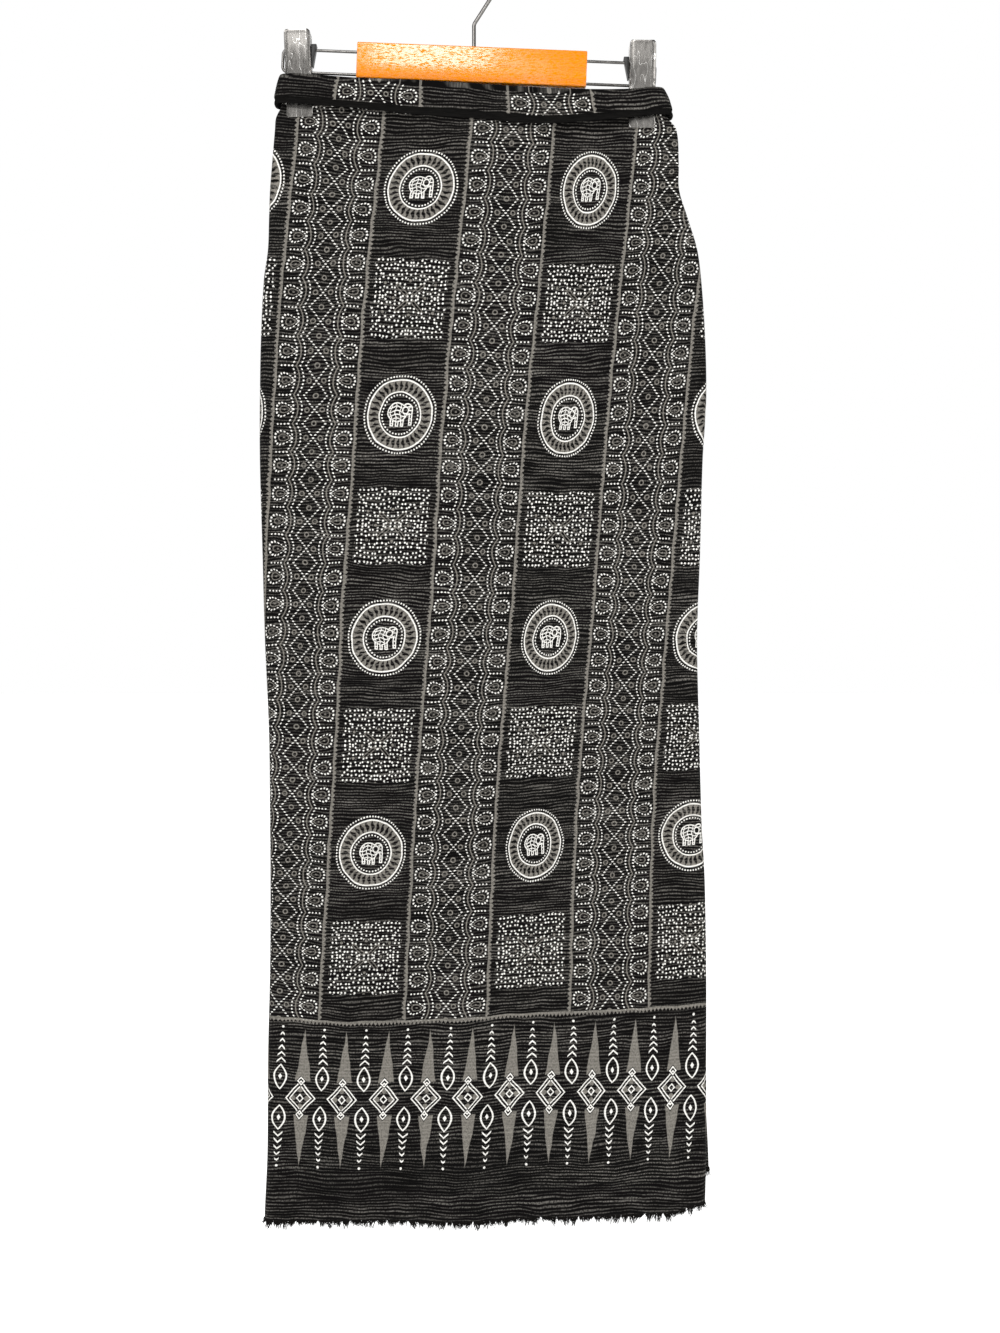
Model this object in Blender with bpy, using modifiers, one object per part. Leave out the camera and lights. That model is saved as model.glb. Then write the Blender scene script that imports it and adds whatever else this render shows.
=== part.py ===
"""Wrap maxi skirt with its waist tie, hanging from a wooden clip hanger.

The skirt is one length of ribbed cotton, wound once and a half round a flattened tube: from a free
edge inside the back, round the right side, across the front, round the left side, and across the
outside of the back to its other free edge. Metres, +Z up, the front faces -Y. The origin is where a
rail bears on the inside of the hook, and a drop is a depth below that point.
"""

import math
import random

import bmesh
import bpy
from mathutils import Vector

# Cloth
WALL = 0.0014
SEAM_GAP = 0.0003
LAYER_STEP = 0.0024
JOIN_BACK = 0.012
LENS_POWER = 1.5

# Sections of the hanging tube, from the waist down. left, right: its outline from the front.
# fold: half the depth of the side folds. front, back: how far the middle of each face stands out
# past the folds. left_held, right_held: how much beside each fold stays flat, held by the clips.
SECTION_COLUMNS = ("drop", "left", "right", "fold", "front", "back", "left_held", "right_held")
SECTIONS = (
    (0.112, -0.1600, 0.1520, 0.0017, 0.0086, 0.0072, 0.024, 0.024),
    (0.130, -0.1655, 0.1600, 0.0017, 0.0088, 0.0074, 0.030, 0.032),
    (0.142, -0.1687, 0.1642, 0.0017, 0.0090, 0.0076, 0.033, 0.035),
    (0.150, -0.1726, 0.1680, 0.0017, 0.0092, 0.0077, 0.035, 0.038),
    (0.160, -0.1735, 0.1762, 0.0018, 0.0094, 0.0078, 0.032, 0.042),
    (0.190, -0.1760, 0.1784, 0.0026, 0.0098, 0.0082, 0.024, 0.030),
    (0.213, -0.1778, 0.1787, 0.0032, 0.0101, 0.0085, 0.018, 0.020),
    (0.239, -0.1787, 0.1866, 0.0038, 0.0104, 0.0087, 0.012, 0.016),
    (0.265, -0.1796, 0.1944, 0.0043, 0.0106, 0.0089, 0.008, 0.014),
    (0.291, -0.1831, 0.1979, 0.0048, 0.0107, 0.0090, 0.006, 0.010),
    (0.343, -0.1857, 0.2014, 0.0055, 0.0108, 0.0091, 0.004, 0.006),
    (0.396, -0.1866, 0.2023, 0.0060, 0.0109, 0.0092, 0.002, 0.004),
    (0.448, -0.1866, 0.1992, 0.0063, 0.0109, 0.0092, 0.0, 0.0),
    (0.527, -0.1844, 0.1970, 0.0066, 0.0109, 0.0093, 0.0, 0.0),
    (0.605, -0.1822, 0.1944, 0.0068, 0.0110, 0.0094, 0.0, 0.0),
    (0.684, -0.1787, 0.1962, 0.0070, 0.0112, 0.0095, 0.0, 0.0),
    (0.762, -0.1778, 0.1983, 0.0072, 0.0114, 0.0096, 0.0, 0.0),
    (0.814, -0.1774, 0.2010, 0.0074, 0.0116, 0.0097, 0.0, 0.0),
    (0.893, -0.1778, 0.2023, 0.0076, 0.0118, 0.0098, 0.0, 0.0),
    (0.971, -0.1796, 0.2023, 0.0078, 0.0121, 0.0099, 0.0, 0.0),
    (1.050, -0.1800, 0.2023, 0.0080, 0.0124, 0.0100, 0.0, 0.0),
    (1.118, -0.1826, 0.2010, 0.0082, 0.0127, 0.0102, 0.0, 0.0),
)

# The largest soft folds. top_x, hem_x: where a fold crosses the waist and the hem. half_width:
# across it. top_lift, hem_lift: outward at the waist and at the hem, negative for a hollow.
FRONT_FOLDS = (
    (-0.100, -0.128, 0.030, 0.0008, 0.0046),
    (-0.060, -0.078, 0.024, -0.0010, -0.0032),
    (-0.020, -0.016, 0.036, 0.0012, 0.0040),
    (0.040, 0.052, 0.028, -0.0012, -0.0038),
    (0.085, 0.106, 0.030, 0.0006, 0.0020),
    (0.120, 0.150, 0.022, -0.0004, -0.0020),
)
BACK_FOLDS = (
    (-0.105, -0.120, 0.032, 0.0008, 0.0040),
    (-0.050, -0.058, 0.026, -0.0010, -0.0030),
    (0.010, 0.020, 0.038, 0.0010, 0.0042),
    (0.070, 0.086, 0.026, -0.0008, -0.0034),
    (0.110, 0.140, 0.026, 0.0004, 0.0024),
)

# Cut edges of the cloth, as drops at shares of the way across, left to right
EDGE_COLUMNS = ("across", "drop")
TOP_EDGE = (
    (0.0, 0.1170),
    (0.15, 0.1212),
    (0.35, 0.1245),
    (0.50, 0.1280),
    (0.70, 0.1312),
    (0.85, 0.1320),
    (1.0, 0.1300),
)
FRONT_HEM = (
    (0.0, 1.1085),
    (0.15, 1.1065),
    (0.30, 1.1055),
    (0.50, 1.1045),
    (0.65, 1.1025),
    (0.85, 1.1015),
    (0.96, 1.1000),
    (1.0, 1.0940),
)
FLAP_HEM = ((0.0, 1.1085), (0.5, 1.0900), (1.0, 1.0675))
UNDER_HEM = ((0.0, 1.0700), (0.5, 1.0820), (1.0, 1.0940))

# The part of the upper edge that each stretch of the back runs along, left to right
FLAP_TOP_SHARES = (0.03, 0.89)
UNDER_TOP_SHARES = (0.18, 0.97)

# Free upright edges, as x down the cloth
UPRIGHT_COLUMNS = ("drop", "x")
FLAP_EDGE = ((0.120, 0.1360), (0.450, 0.1700), (0.800, 0.1925), (1.000, 0.2023), (1.080, 0.2056))
UNDER_EDGE = ((0.120, -0.1000), (1.080, -0.0400))

# Rows of the cloth's grid, closer together towards the waist, and its steps across
ROWS = 28
ROW_POWER = 1.5
ARC_STEPS = 5
FRONT_STEPS = 20
FLAP_STEPS = 16
UNDER_STEPS = 12

# Frayed edges: tufts on a narrow strip just under each hem
STRIP_HEIGHT = 0.0016
STRIP_WALL = 0.0010
TUFT_PITCH = 0.0080
TUFT_SHORT, TUFT_LONG = 0.0034, 0.0064
TUFT_TIP = 0.35
TUFT_SWAY = 0.0014
FRAY_SEED = 11

# Waist tie: a strip of doubled cloth round the waist, outside the clips. across: x along it.
# top, bottom: drops of its edges. front, back: its middle's distance from the hanging plane.
TIE_COLUMNS = ("across", "top", "bottom", "front", "back")
TIE_STATIONS = (
    (-0.1580, 0.1142, 0.1412, 0.0102, 0.0102),
    (-0.1530, 0.1144, 0.1412, 0.0106, 0.0104),
    (-0.1000, 0.1188, 0.1424, 0.0124, 0.0116),
    (-0.0480, 0.1212, 0.1474, 0.0142, 0.0130),
    (0.0050, 0.1248, 0.1504, 0.0150, 0.0136),
    (0.0570, 0.1278, 0.1544, 0.0152, 0.0134),
    (0.1080, 0.1290, 0.1524, 0.0138, 0.0122),
    (0.1460, 0.1274, 0.1496, 0.0108, 0.0104),
    (0.1560, 0.1258, 0.1488, 0.0100, 0.0098),
)
TIE_THICK = 0.0022
TIE_BULGE = 0.0007
TIE_FLARE = {"left": 0.0147, "right": 0.0247}
TIE_END_REACH = 0.0125
TIE_END_POWER = 0.5
TIE_ROWS = 4
TIE_RUN_STEPS = 20
TIE_END_STEPS = 8

# Knot and the tie's two ends. side: which side of the knot an end leaves. lean: from upright.
KNOT_X = 0.020
KNOT_SIZE = (0.036, 0.012, 0.031)
KNOT_EDGE = 0.0045
TAIL_THICK = 0.0026
TAIL_NARROW, TAIL_WIDE = 0.0065, 0.0125
TAIL_OFFSET = 0.0085
TAIL_REST = 0.0008
TAIL_STEPS = 14
TAIL_COLUMNS = ("name", "side", "length", "lean")
TAILS = (("tie_tail_long", -1, 0.235, 7.0), ("tie_tail_short", 1, 0.185, 9.0))

# Hanger. The block and its wires tilt together, down to the right.
HANGER_TILT = math.radians(2.3)
BLOCK_CENTRE = Vector((-0.0019, 0.0, -0.1052))
BLOCK_SIZE = (0.200, 0.015, 0.031)
BLOCK_EDGE = 0.0012
WIRE = 0.0013
WIRE_UPPER, WIRE_LOWER = 0.0086, -0.0112
WIRE_REACH = {"left": 0.1660, "right": 0.1610}
WIRE_CORNER = 0.0045
HOOK_WIRE = 0.0017
HOOK_RING = 0.0245
HOOK_SLANT = math.radians(32.5)
HOOK_TIP_TURN = math.radians(205)
HOOK_STEPS = 26

# Clip jaws: a bent plate on each side of the cloth. height: above the jaw's tip. stand: its
# middle's distance from the hanging plane. Above FLANGE_FROM its sides fold in to the wires.
PLATE = 0.0009
JAW_COLUMNS = ("height", "stand", "half_width")
JAW_ROWS = (
    (0.0000, 0.00315, 0.0102),
    (0.0022, 0.00315, 0.0114),
    (0.0150, 0.00330, 0.0110),
    (0.0300, 0.00560, 0.0109),
    (0.0370, 0.00680, 0.0109),
    (0.0390, 0.00710, 0.0109),
    (0.0560, 0.00880, 0.0109),
    (0.0715, 0.00970, 0.0109),
    (0.0740, 0.00990, 0.0106),
)
FLANGE_FROM = 0.038
FLANGE_X = 0.0109
# side: the tip's x and drop, and how far the clip leans from upright
CLIPS = {
    "left": (-0.1515, 0.1498, math.radians(-1.6)),
    "right": (0.1461, 0.1592, math.radians(0.6)),
}
CAM_SIZE = (0.0048, 0.0096, 0.0186)
CAM_FOOT = 0.25
CAM_ABOVE_WIRE = 0.0040

CLOTH_COLOUR = (0.030, 0.028, 0.026)
FRAY_COLOUR = (0.018, 0.017, 0.016)
WOOD_COLOUR = (0.900, 0.370, 0.020)
STEEL_COLOUR = (0.480, 0.470, 0.450)
BLACK_COLOUR = (0.012, 0.012, 0.012)


def clear_scene():
    """Remove whatever the file starts with."""
    for obj in list(bpy.data.objects):
        bpy.data.objects.remove(obj, do_unlink=True)


def add_collection(name):
    """A collection under the scene."""
    collection = bpy.data.collections.new(name)
    bpy.context.scene.collection.children.link(collection)
    return collection


def make_material(name, colour, roughness, metallic=0.0):
    """A Principled material of one colour."""
    material = bpy.data.materials.new(name)
    material.use_nodes = True
    shader = material.node_tree.nodes["Principled BSDF"]
    shader.inputs["Base Color"].default_value = (*colour, 1.0)
    shader.inputs["Roughness"].default_value = roughness
    shader.inputs["Metallic"].default_value = metallic
    material.diffuse_color = (*colour, 1.0)
    return material


def add_object(name, data, material, parent=None):
    """Put a mesh or curve in the part's collection as one named object."""
    obj = bpy.data.objects.new(name, data)
    bpy.data.collections["wrap_maxi_skirt"].objects.link(obj)
    data.materials.append(material)
    obj.parent = parent
    return obj


def to_mesh(bm, name):
    """Turn an edited mesh into mesh data, with its faces pointing out."""
    bmesh.ops.recalc_face_normals(bm, faces=bm.faces)
    mesh = bpy.data.meshes.new(name)
    bm.to_mesh(mesh)
    bm.free()
    mesh.shade_smooth()
    mesh.set_sharp_from_angle(angle=math.radians(40))
    return mesh


def bent_grid(columns, rows, place):
    """A grid of faces, with each corner put where place(column, row) says."""
    bm = bmesh.new()
    bmesh.ops.create_grid(bm, x_segments=columns, y_segments=rows, size=1.0)
    for vert in bm.verts:
        column = round((vert.co.x + 1) / 2 * columns)
        row = round((vert.co.y + 1) / 2 * rows)
        vert.co = Vector(place(column, row))
    bm.normal_update()
    return bm


def thicken(obj, thickness):
    """Give an open surface its wall, half to each side."""
    wall = obj.modifiers.new("wall", "SOLIDIFY")
    wall.thickness = thickness
    wall.offset = 0.0
    wall.use_even_offset = True


def round_edges(obj, width):
    """Round the edges of a solid."""
    bevel = obj.modifiers.new("edges", "BEVEL")
    bevel.width = width
    bevel.segments = 2
    bevel.limit_method = "ANGLE"


def ease(share):
    """A smooth step from 0 to 1."""
    share = min(1.0, max(0.0, share))
    return share * share * (3.0 - 2.0 * share)


def table_value(rows, columns, at, column):
    """Read one column of a table at a place along its first column, on a smooth curve."""
    what = columns.index(column)
    places = [row[0] for row in rows]
    values = [row[what] for row in rows]
    if at <= places[0]:
        return values[0]
    if at >= places[-1]:
        return values[-1]
    high = next(i for i, place in enumerate(places) if place > at)
    low = high - 1
    span = places[high] - places[low]
    share = (at - places[low]) / span

    def slope(i):
        if i in (0, len(places) - 1):
            return 0.0
        return (values[i + 1] - values[i - 1]) / (places[i + 1] - places[i - 1])

    square = share * share
    cube = square * share
    from_low = values[low] * (2 * cube - 3 * square + 1)
    from_high = values[high] * (3 * square - 2 * cube)
    turn = slope(low) * (cube - 2 * square + share) + slope(high) * (cube - square)
    return from_low + from_high + turn * span


def section(drop, column):
    """One measure of the hanging tube at a drop."""
    return table_value(SECTIONS, SECTION_COLUMNS, drop, column)


def edge_drop(rows, across):
    """Drop of a cut edge at a share of the way across."""
    return table_value(rows, EDGE_COLUMNS, across, "drop")


def upright_x(rows, drop):
    """x of a free upright edge at a drop."""
    return table_value(rows, UPRIGHT_COLUMNS, drop, "x")


def tie(across, column):
    """One measure of the waist tie at a place along it."""
    return table_value(TIE_STATIONS, TIE_COLUMNS, across, column)


def layer_step(drop):
    """How far the inner layer of the back lies inside the outer one."""
    return min(LAYER_STEP, section(drop, "fold"))


def right_radius(drop):
    """Radius of the right fold, which turns inside the outer layer."""
    return section(drop, "fold") - layer_step(drop) / 2


def left_turn(drop):
    """x where the left fold meets the faces."""
    return section(drop, "left") + WALL / 2 + section(drop, "fold")


def right_turn(drop):
    """x where the right fold meets the faces."""
    return section(drop, "right") - WALL / 2 - right_radius(drop)


def swell(x, drop, depth, folds):
    """How far a face stands out past the side folds at x: a lens shape and its soft folds."""
    low = left_turn(drop) + section(drop, "left_held")
    high = right_turn(drop) - section(drop, "right_held")
    share = min(1.0, max(0.0, (x - low) / (high - low)))
    down = (drop - TOP_EDGE[0][1]) / (FRONT_HEM[0][1] - TOP_EDGE[0][1])
    lift = 0.0
    for top_x, hem_x, half_width, top_lift, hem_lift in folds:
        centre = top_x + (hem_x - top_x) * down
        height = top_lift + (hem_lift - top_lift) * down
        lift += height * math.exp(-(((x - centre) / half_width) ** 2))
    return math.sin(math.pi * share) ** LENS_POWER * (depth + lift)


def front_y(x, drop):
    """Middle of the front wall."""
    return -section(drop, "fold") - swell(x, drop, section(drop, "front"), FRONT_FOLDS)


def flap_y(x, drop):
    """Middle of the outer wall of the back."""
    return section(drop, "fold") + swell(x, drop, section(drop, "back"), BACK_FOLDS)


def front_stations():
    """Stations along the front stretch: a part of the section, and a share of that part."""
    stations = [("back_left", 0.0)]
    stations += [("left_fold", i / ARC_STEPS) for i in range(ARC_STEPS)]
    stations += [("front", i / FRONT_STEPS) for i in range(FRONT_STEPS)]
    stations += [("right_fold", i / ARC_STEPS) for i in range(ARC_STEPS + 1)]
    return stations + [("back_right", 1.0)]


def front_point(station, drop):
    """A point on the middle of the front stretch."""
    part, along = station
    fold = section(drop, "fold")
    if part == "back_left":
        x = left_turn(drop) + JOIN_BACK
        return x, flap_y(x, drop)
    if part == "left_fold":
        turn = math.pi * (0.5 + along)
        return left_turn(drop) + fold * math.cos(turn), fold * math.sin(turn)
    if part == "front":
        x = left_turn(drop) + (right_turn(drop) - left_turn(drop)) * along
        return x, front_y(x, drop)
    if part == "right_fold":
        radius = right_radius(drop)
        turn = math.pi * (along - 0.5)
        return right_turn(drop) + radius * math.cos(turn), radius - fold + radius * math.sin(turn)
    x = right_turn(drop) - JOIN_BACK
    return x, flap_y(x, drop) - layer_step(drop)


def front_across(station):
    """Share of the way across the front at a station."""
    part, along = station
    if part == "front":
        return along
    return 0.0 if part in ("back_left", "left_fold") else 1.0


def flap_point(share, drop):
    """A point on the middle of the outer flap, from its seam to its free edge."""
    start = left_turn(drop) + JOIN_BACK + SEAM_GAP
    x = start + (upright_x(FLAP_EDGE, drop) - start) * share
    return x, flap_y(x, drop)


def under_point(share, drop):
    """A point on the middle of the inner stretch, from its free edge to its seam."""
    start = upright_x(UNDER_EDGE, drop)
    end = right_turn(drop) - JOIN_BACK - SEAM_GAP
    x = start + (end - start) * share
    return x, flap_y(x, drop) - layer_step(drop)


def stretch_layout(name):
    """A stretch's stations, its section, and the drops of its upper edge and hem at each station."""
    if name == "front":
        stations, point = front_stations(), front_point
        top_shares = [front_across(station) for station in stations]
        hem_shares, hem = top_shares, FRONT_HEM
    else:
        steps, point, hem, (first, last) = {
            "flap": (FLAP_STEPS, flap_point, FLAP_HEM, FLAP_TOP_SHARES),
            "under": (UNDER_STEPS, under_point, UNDER_HEM, UNDER_TOP_SHARES),
        }[name]
        stations = [i / steps for i in range(steps + 1)]
        top_shares = [first + (last - first) * share for share in stations]
        hem_shares = stations
    tops = [edge_drop(TOP_EDGE, share) for share in top_shares]
    hems = [edge_drop(hem, share) for share in hem_shares]
    return stations, point, tops, hems


def add_panel(name, material):
    """One stretch of the wrap panel, from its upper edge to its hem."""
    stations, point, tops, hems = stretch_layout(name)

    def place(column, row):
        down = (row / ROWS) ** ROW_POWER
        drop = tops[column] + (hems[column] - tops[column]) * down
        x, y = point(stations[column], drop)
        return x, y, -drop

    bm = bent_grid(len(stations) - 1, ROWS, place)
    obj = add_object("panel_" + name, to_mesh(bm, "panel_" + name), material)
    thicken(obj, WALL)


def hem_line(name):
    """Points along a stretch's hem, two to each tuft."""
    stations, point, _, hems = stretch_layout(name)
    corners = [Vector((*point(station, drop), -drop)) for station, drop in zip(stations, hems)]
    spans = [(b - a).length for a, b in zip(corners, corners[1:])]
    count = 2 * round(sum(spans) / TUFT_PITCH) + 1
    line = []
    for i in range(count + 1):
        left = sum(spans) * i / count
        index = 0
        while index < len(spans) - 1 and left > spans[index]:
            left -= spans[index]
            index += 1
        line.append(corners[index].lerp(corners[index + 1], min(1.0, left / spans[index])))
    return line


def add_fray(name, material):
    """The frayed hem of a stretch: a narrow strip with tufts drawn out of its underside."""
    dice = random.Random(FRAY_SEED + len(name))
    line = hem_line(name)
    middles = [(a + b) / 2 for a, b in zip(line, line[1:])]

    def place(column, row):
        return line[column] - Vector((0, 0, SEAM_GAP + row * STRIP_HEIGHT))

    def place_along(face):
        centre = face.calc_center_median()
        return min(range(len(middles)), key=lambda i: (middles[i] - centre).length_squared)

    bm = bent_grid(len(line) - 1, 1, place)
    bmesh.ops.solidify(bm, geom=bm.faces[:] + bm.edges[:] + bm.verts[:], thickness=STRIP_WALL)
    bm.normal_update()
    undersides = sorted((face for face in bm.faces if face.normal.z < -0.7), key=place_along)
    for face in bmesh.ops.extrude_discrete_faces(bm, faces=undersides[::2])["faces"]:
        centre = face.calc_center_median()
        sway_x = dice.uniform(-TUFT_SWAY, TUFT_SWAY)
        sway_y = dice.uniform(-TUFT_SWAY, TUFT_SWAY) / 2
        fall = dice.uniform(TUFT_SHORT, TUFT_LONG)
        for vert in face.verts:
            vert.co = centre + (vert.co - centre) * TUFT_TIP + Vector((sway_x, sway_y, -fall))
    add_object("fray_" + name, to_mesh(bm, "fray_" + name), material)


def tie_route():
    """Points round the waist tie as seen from above, each with its place along the stations."""
    left, right = TIE_STATIONS[0][0], TIE_STATIONS[-1][0]
    route = []

    def run(start, end, face):
        for i in range(TIE_RUN_STEPS):
            x = start + (end - start) * i / TIE_RUN_STEPS
            y = -tie(x, "front") if face == "front" else tie(x, "back")
            route.append((x, y, x))

    def end_turn(x, start, sign):
        middle = (tie(x, "back") - tie(x, "front")) / 2
        radius = (tie(x, "back") + tie(x, "front")) / 2
        for i in range(TIE_END_STEPS):
            turn = start + math.pi * i / TIE_END_STEPS
            reach = TIE_END_REACH * abs(math.cos(turn)) ** TIE_END_POWER
            depth = radius * abs(math.sin(turn)) ** TIE_END_POWER
            route.append((x + sign * reach, middle + math.copysign(depth, math.sin(turn)), x))

    run(KNOT_X - SEAM_GAP, left, "back")
    end_turn(left, math.pi / 2, -1)
    run(left, right, "front")
    end_turn(right, -math.pi / 2, 1)
    run(right, KNOT_X + SEAM_GAP, "back")
    route.append((KNOT_X + SEAM_GAP, tie(KNOT_X, "back"), KNOT_X))
    return route


def add_tie(material):
    """The strip round the waist, a little wider at its lower edge, and bowed outward."""
    route = tie_route()

    def place(column, row):
        x, y, across = route[column]
        down = row / TIE_ROWS
        drop = tie(across, "top") + (tie(across, "bottom") - tie(across, "top")) * down
        bulge = math.copysign(TIE_BULGE * math.sin(math.pi * down), y)
        flare = TIE_FLARE["left" if x < 0 else "right"] * (2 * down - 1)
        return x * (1 + flare), y + bulge, -drop

    bm = bent_grid(len(route) - 1, TIE_ROWS, place)
    obj = add_object("waist_tie", to_mesh(bm, "waist_tie"), material)
    thicken(obj, TIE_THICK)


def knot_centre():
    """Centre of the knot, on the outside of the tie at the back."""
    drop = (tie(KNOT_X, "top") + tie(KNOT_X, "bottom")) / 2
    y = tie(KNOT_X, "back") + TIE_BULGE + TIE_THICK / 2 + SEAM_GAP + KNOT_SIZE[1] / 2
    return Vector((KNOT_X, y, -drop))


def add_box(name, size, material, parent=None):
    """A box of a given size about its own origin."""
    bm = bmesh.new()
    bmesh.ops.create_cube(bm, size=1.0)
    bmesh.ops.scale(bm, vec=size, verts=bm.verts)
    return add_object(name, to_mesh(bm, name), material, parent)


def add_knot(material):
    """The knot that closes the tie."""
    knot = add_box("tie_knot", KNOT_SIZE, material)
    knot.location = knot_centre()
    round_edges(knot, KNOT_EDGE)


def add_tail(name, side, length, lean, material):
    """One loose end of the tie: it drops from the knot onto the back and hangs down it."""
    knot = knot_centre()
    start_drop = -knot.z + KNOT_SIZE[2] / 2 + SEAM_GAP
    slant = math.radians(lean)

    def place(column, row):
        share = row / TAIL_STEPS
        drop = start_drop + length * share * math.cos(slant)
        middle = knot.x + side * (TAIL_OFFSET + length * share * math.sin(slant))
        half = TAIL_NARROW + (TAIL_WIDE - TAIL_NARROW) * ease(share * 3)
        x = middle + half * (column - 1)
        resting = flap_y(x, drop) + WALL / 2 + TAIL_REST + TAIL_THICK / 2
        return x, resting + (knot.y - resting) * (1 - ease(share * 2.5)), -drop

    bm = bent_grid(2, TAIL_STEPS, place)
    obj = add_object(name, to_mesh(bm, name), material)
    thicken(obj, TAIL_THICK)


def add_wire(name, points, radius, material, parent=None):
    """A round wire along a list of points, with closed ends."""
    curve = bpy.data.curves.new(name, "CURVE")
    curve.dimensions = "3D"
    curve.bevel_depth = radius
    curve.bevel_resolution = 2
    curve.use_fill_caps = True
    spline = curve.splines.new("POLY")
    spline.points.add(len(points) - 1)
    for target, point in zip(spline.points, points):
        target.co = (*point, 1.0)
    return add_object(name, curve, material, parent)


def add_frame(name, location, turn):
    """An empty that carries the lean of the pieces under it."""
    frame = bpy.data.objects.new(name, None)
    bpy.data.collections["wrap_maxi_skirt"].objects.link(frame)
    frame.location = location
    frame.rotation_euler.y = turn
    return frame


def add_rod(side, material, tilt_frame):
    """A wire bent back on itself: out of the block's end, round past the clip, and back."""
    sign = -1 if side == "left" else 1
    foot = BLOCK_SIZE[0] / 2 + SEAM_GAP
    bend_x = WIRE_REACH[side] - WIRE - WIRE_CORNER
    points = [(sign * foot, 0.0, WIRE_UPPER)]
    for middle, start in ((WIRE_UPPER - WIRE_CORNER, 90), (WIRE_LOWER + WIRE_CORNER, 0)):
        for degrees in range(0, 91, 30):
            turn = math.radians(start - degrees)
            x = bend_x + WIRE_CORNER * math.cos(turn)
            points.append((sign * x, 0.0, middle + WIRE_CORNER * math.sin(turn)))
    points.append((sign * foot, 0.0, WIRE_LOWER))
    add_wire("hanger_rod_" + side, points, WIRE, material, tilt_frame)


def add_hook(material):
    """The hook: an upright shank, a slant, and a ring that passes over the rail."""
    ring_centre = HOOK_WIRE - HOOK_RING
    half_height = BLOCK_SIZE[2] / 2 / math.cos(HANGER_TILT)
    block_top = BLOCK_CENTRE.z + half_height + BLOCK_CENTRE.x * math.tan(HANGER_TILT)
    foot = block_top + SEAM_GAP + HOOK_WIRE * math.tan(HANGER_TILT)
    bend = ring_centre - HOOK_RING / math.sin(HOOK_SLANT)
    points = [(0.0, 0.0, foot), (0.0, 0.0, bend - 0.004), (0.0012, 0.0, bend + 0.0008)]
    for i in range(HOOK_STEPS + 1):
        turn = -HOOK_SLANT + (HOOK_TIP_TURN + HOOK_SLANT) * i / HOOK_STEPS
        points.append((HOOK_RING * math.cos(turn), 0.0, ring_centre + HOOK_RING * math.sin(turn)))
    add_wire("hanger_hook", points, HOOK_WIRE, material)


def add_jaw(side, face, material, clip_frame):
    """One jaw of a clip, a channel above and a plain plate below, front or back of the cloth."""
    sign = -1 if face == "front" else 1

    def place(column, row):
        height, stand, half_width = JAW_ROWS[row]
        on_flange = column in (0, 3)
        x = half_width * (-1 if column < 2 else 1)
        return x, sign * (WIRE + SEAM_GAP if on_flange else stand), height

    def spare(quad):
        middle = quad.calc_center_median()
        return abs(middle.x) > FLANGE_X / 2 and middle.z < FLANGE_FROM

    bm = bent_grid(3, len(JAW_ROWS) - 1, place)
    bmesh.ops.delete(bm, geom=[quad for quad in bm.faces if spare(quad)], context="FACES")
    name = "clip_" + side + "_" + face
    obj = add_object(name, to_mesh(bm, name), material, clip_frame)
    thicken(obj, PLATE)


def add_wire_way(side, across, tilt_frame, cutters):
    """The cutter that lets the upper wire pass through a wedge."""
    bm = bmesh.new()
    radius = WIRE + SEAM_GAP
    bmesh.ops.create_cone(bm, cap_ends=True, segments=16, radius1=radius, radius2=radius, depth=0.04)
    way = bpy.data.objects.new("wire_way_" + side, to_mesh(bm, "wire_way_" + side))
    cutters.objects.link(way)
    way.parent = tilt_frame
    way.location = (across, 0.0, WIRE_UPPER)
    way.rotation_euler.y = math.pi / 2
    way.hide_render = True
    way.display_type = "WIRE"
    return way


def add_cam(side, material, clip_frame, tilt_frame, cutters):
    """The black wedge on the upper wire, on the block's side of a clip."""
    sign = -1 if side == "left" else 1
    tip_x, tip_drop, _ = CLIPS[side]
    across = -sign * (FLANGE_X + PLATE / 2 + SEAM_GAP + CAM_SIZE[0] / 2)
    along_wire = tip_x + across - BLOCK_CENTRE.x
    wire_drop = -BLOCK_CENTRE.z - WIRE_UPPER + along_wire * math.tan(HANGER_TILT)
    cam = add_box("clip_" + side + "_cam", CAM_SIZE, material, clip_frame)
    straight_side = sign * CAM_SIZE[0] / 2
    for vert in cam.data.vertices:
        if vert.co.z < 0:
            vert.co.x = straight_side + (vert.co.x - straight_side) * CAM_FOOT
    cam.location = (across, 0.0, tip_drop - wire_drop + CAM_ABOVE_WIRE - CAM_SIZE[2] / 2)
    cut = cam.modifiers.new("wire_way", "BOOLEAN")
    cut.object = add_wire_way(side, along_wire, tilt_frame, cutters)


def build():
    """Build every piece of the skirt, its tie and its hanger."""
    clear_scene()
    add_collection("wrap_maxi_skirt")
    cutters = add_collection("cutters")
    cloth = make_material("ribbed_cotton", CLOTH_COLOUR, 0.85)
    fray = make_material("frayed_cotton", FRAY_COLOUR, 0.95)
    wood = make_material("varnished_wood", WOOD_COLOUR, 0.25)
    steel = make_material("plated_steel", STEEL_COLOUR, 0.35, 1.0)
    black = make_material("black_plastic", BLACK_COLOUR, 0.5)

    for name in ("front", "flap", "under"):
        add_panel(name, cloth)
        add_fray(name, fray)

    add_tie(cloth)
    add_knot(cloth)
    for row in TAILS:
        add_tail(material=cloth, **dict(zip(TAIL_COLUMNS, row)))

    tilt_frame = add_frame("hanger_tilt", BLOCK_CENTRE, HANGER_TILT)
    block = add_box("hanger_block", BLOCK_SIZE, wood, tilt_frame)
    round_edges(block, BLOCK_EDGE)
    add_hook(steel)
    for side, (tip_x, tip_drop, lean) in CLIPS.items():
        add_rod(side, steel, tilt_frame)
        clip_frame = add_frame("clip_" + side, (tip_x, 0.0, -tip_drop), lean)
        add_jaw(side, "front", steel, clip_frame)
        add_jaw(side, "back", steel, clip_frame)
        add_cam(side, black, clip_frame, tilt_frame, cutters)


build()
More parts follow.
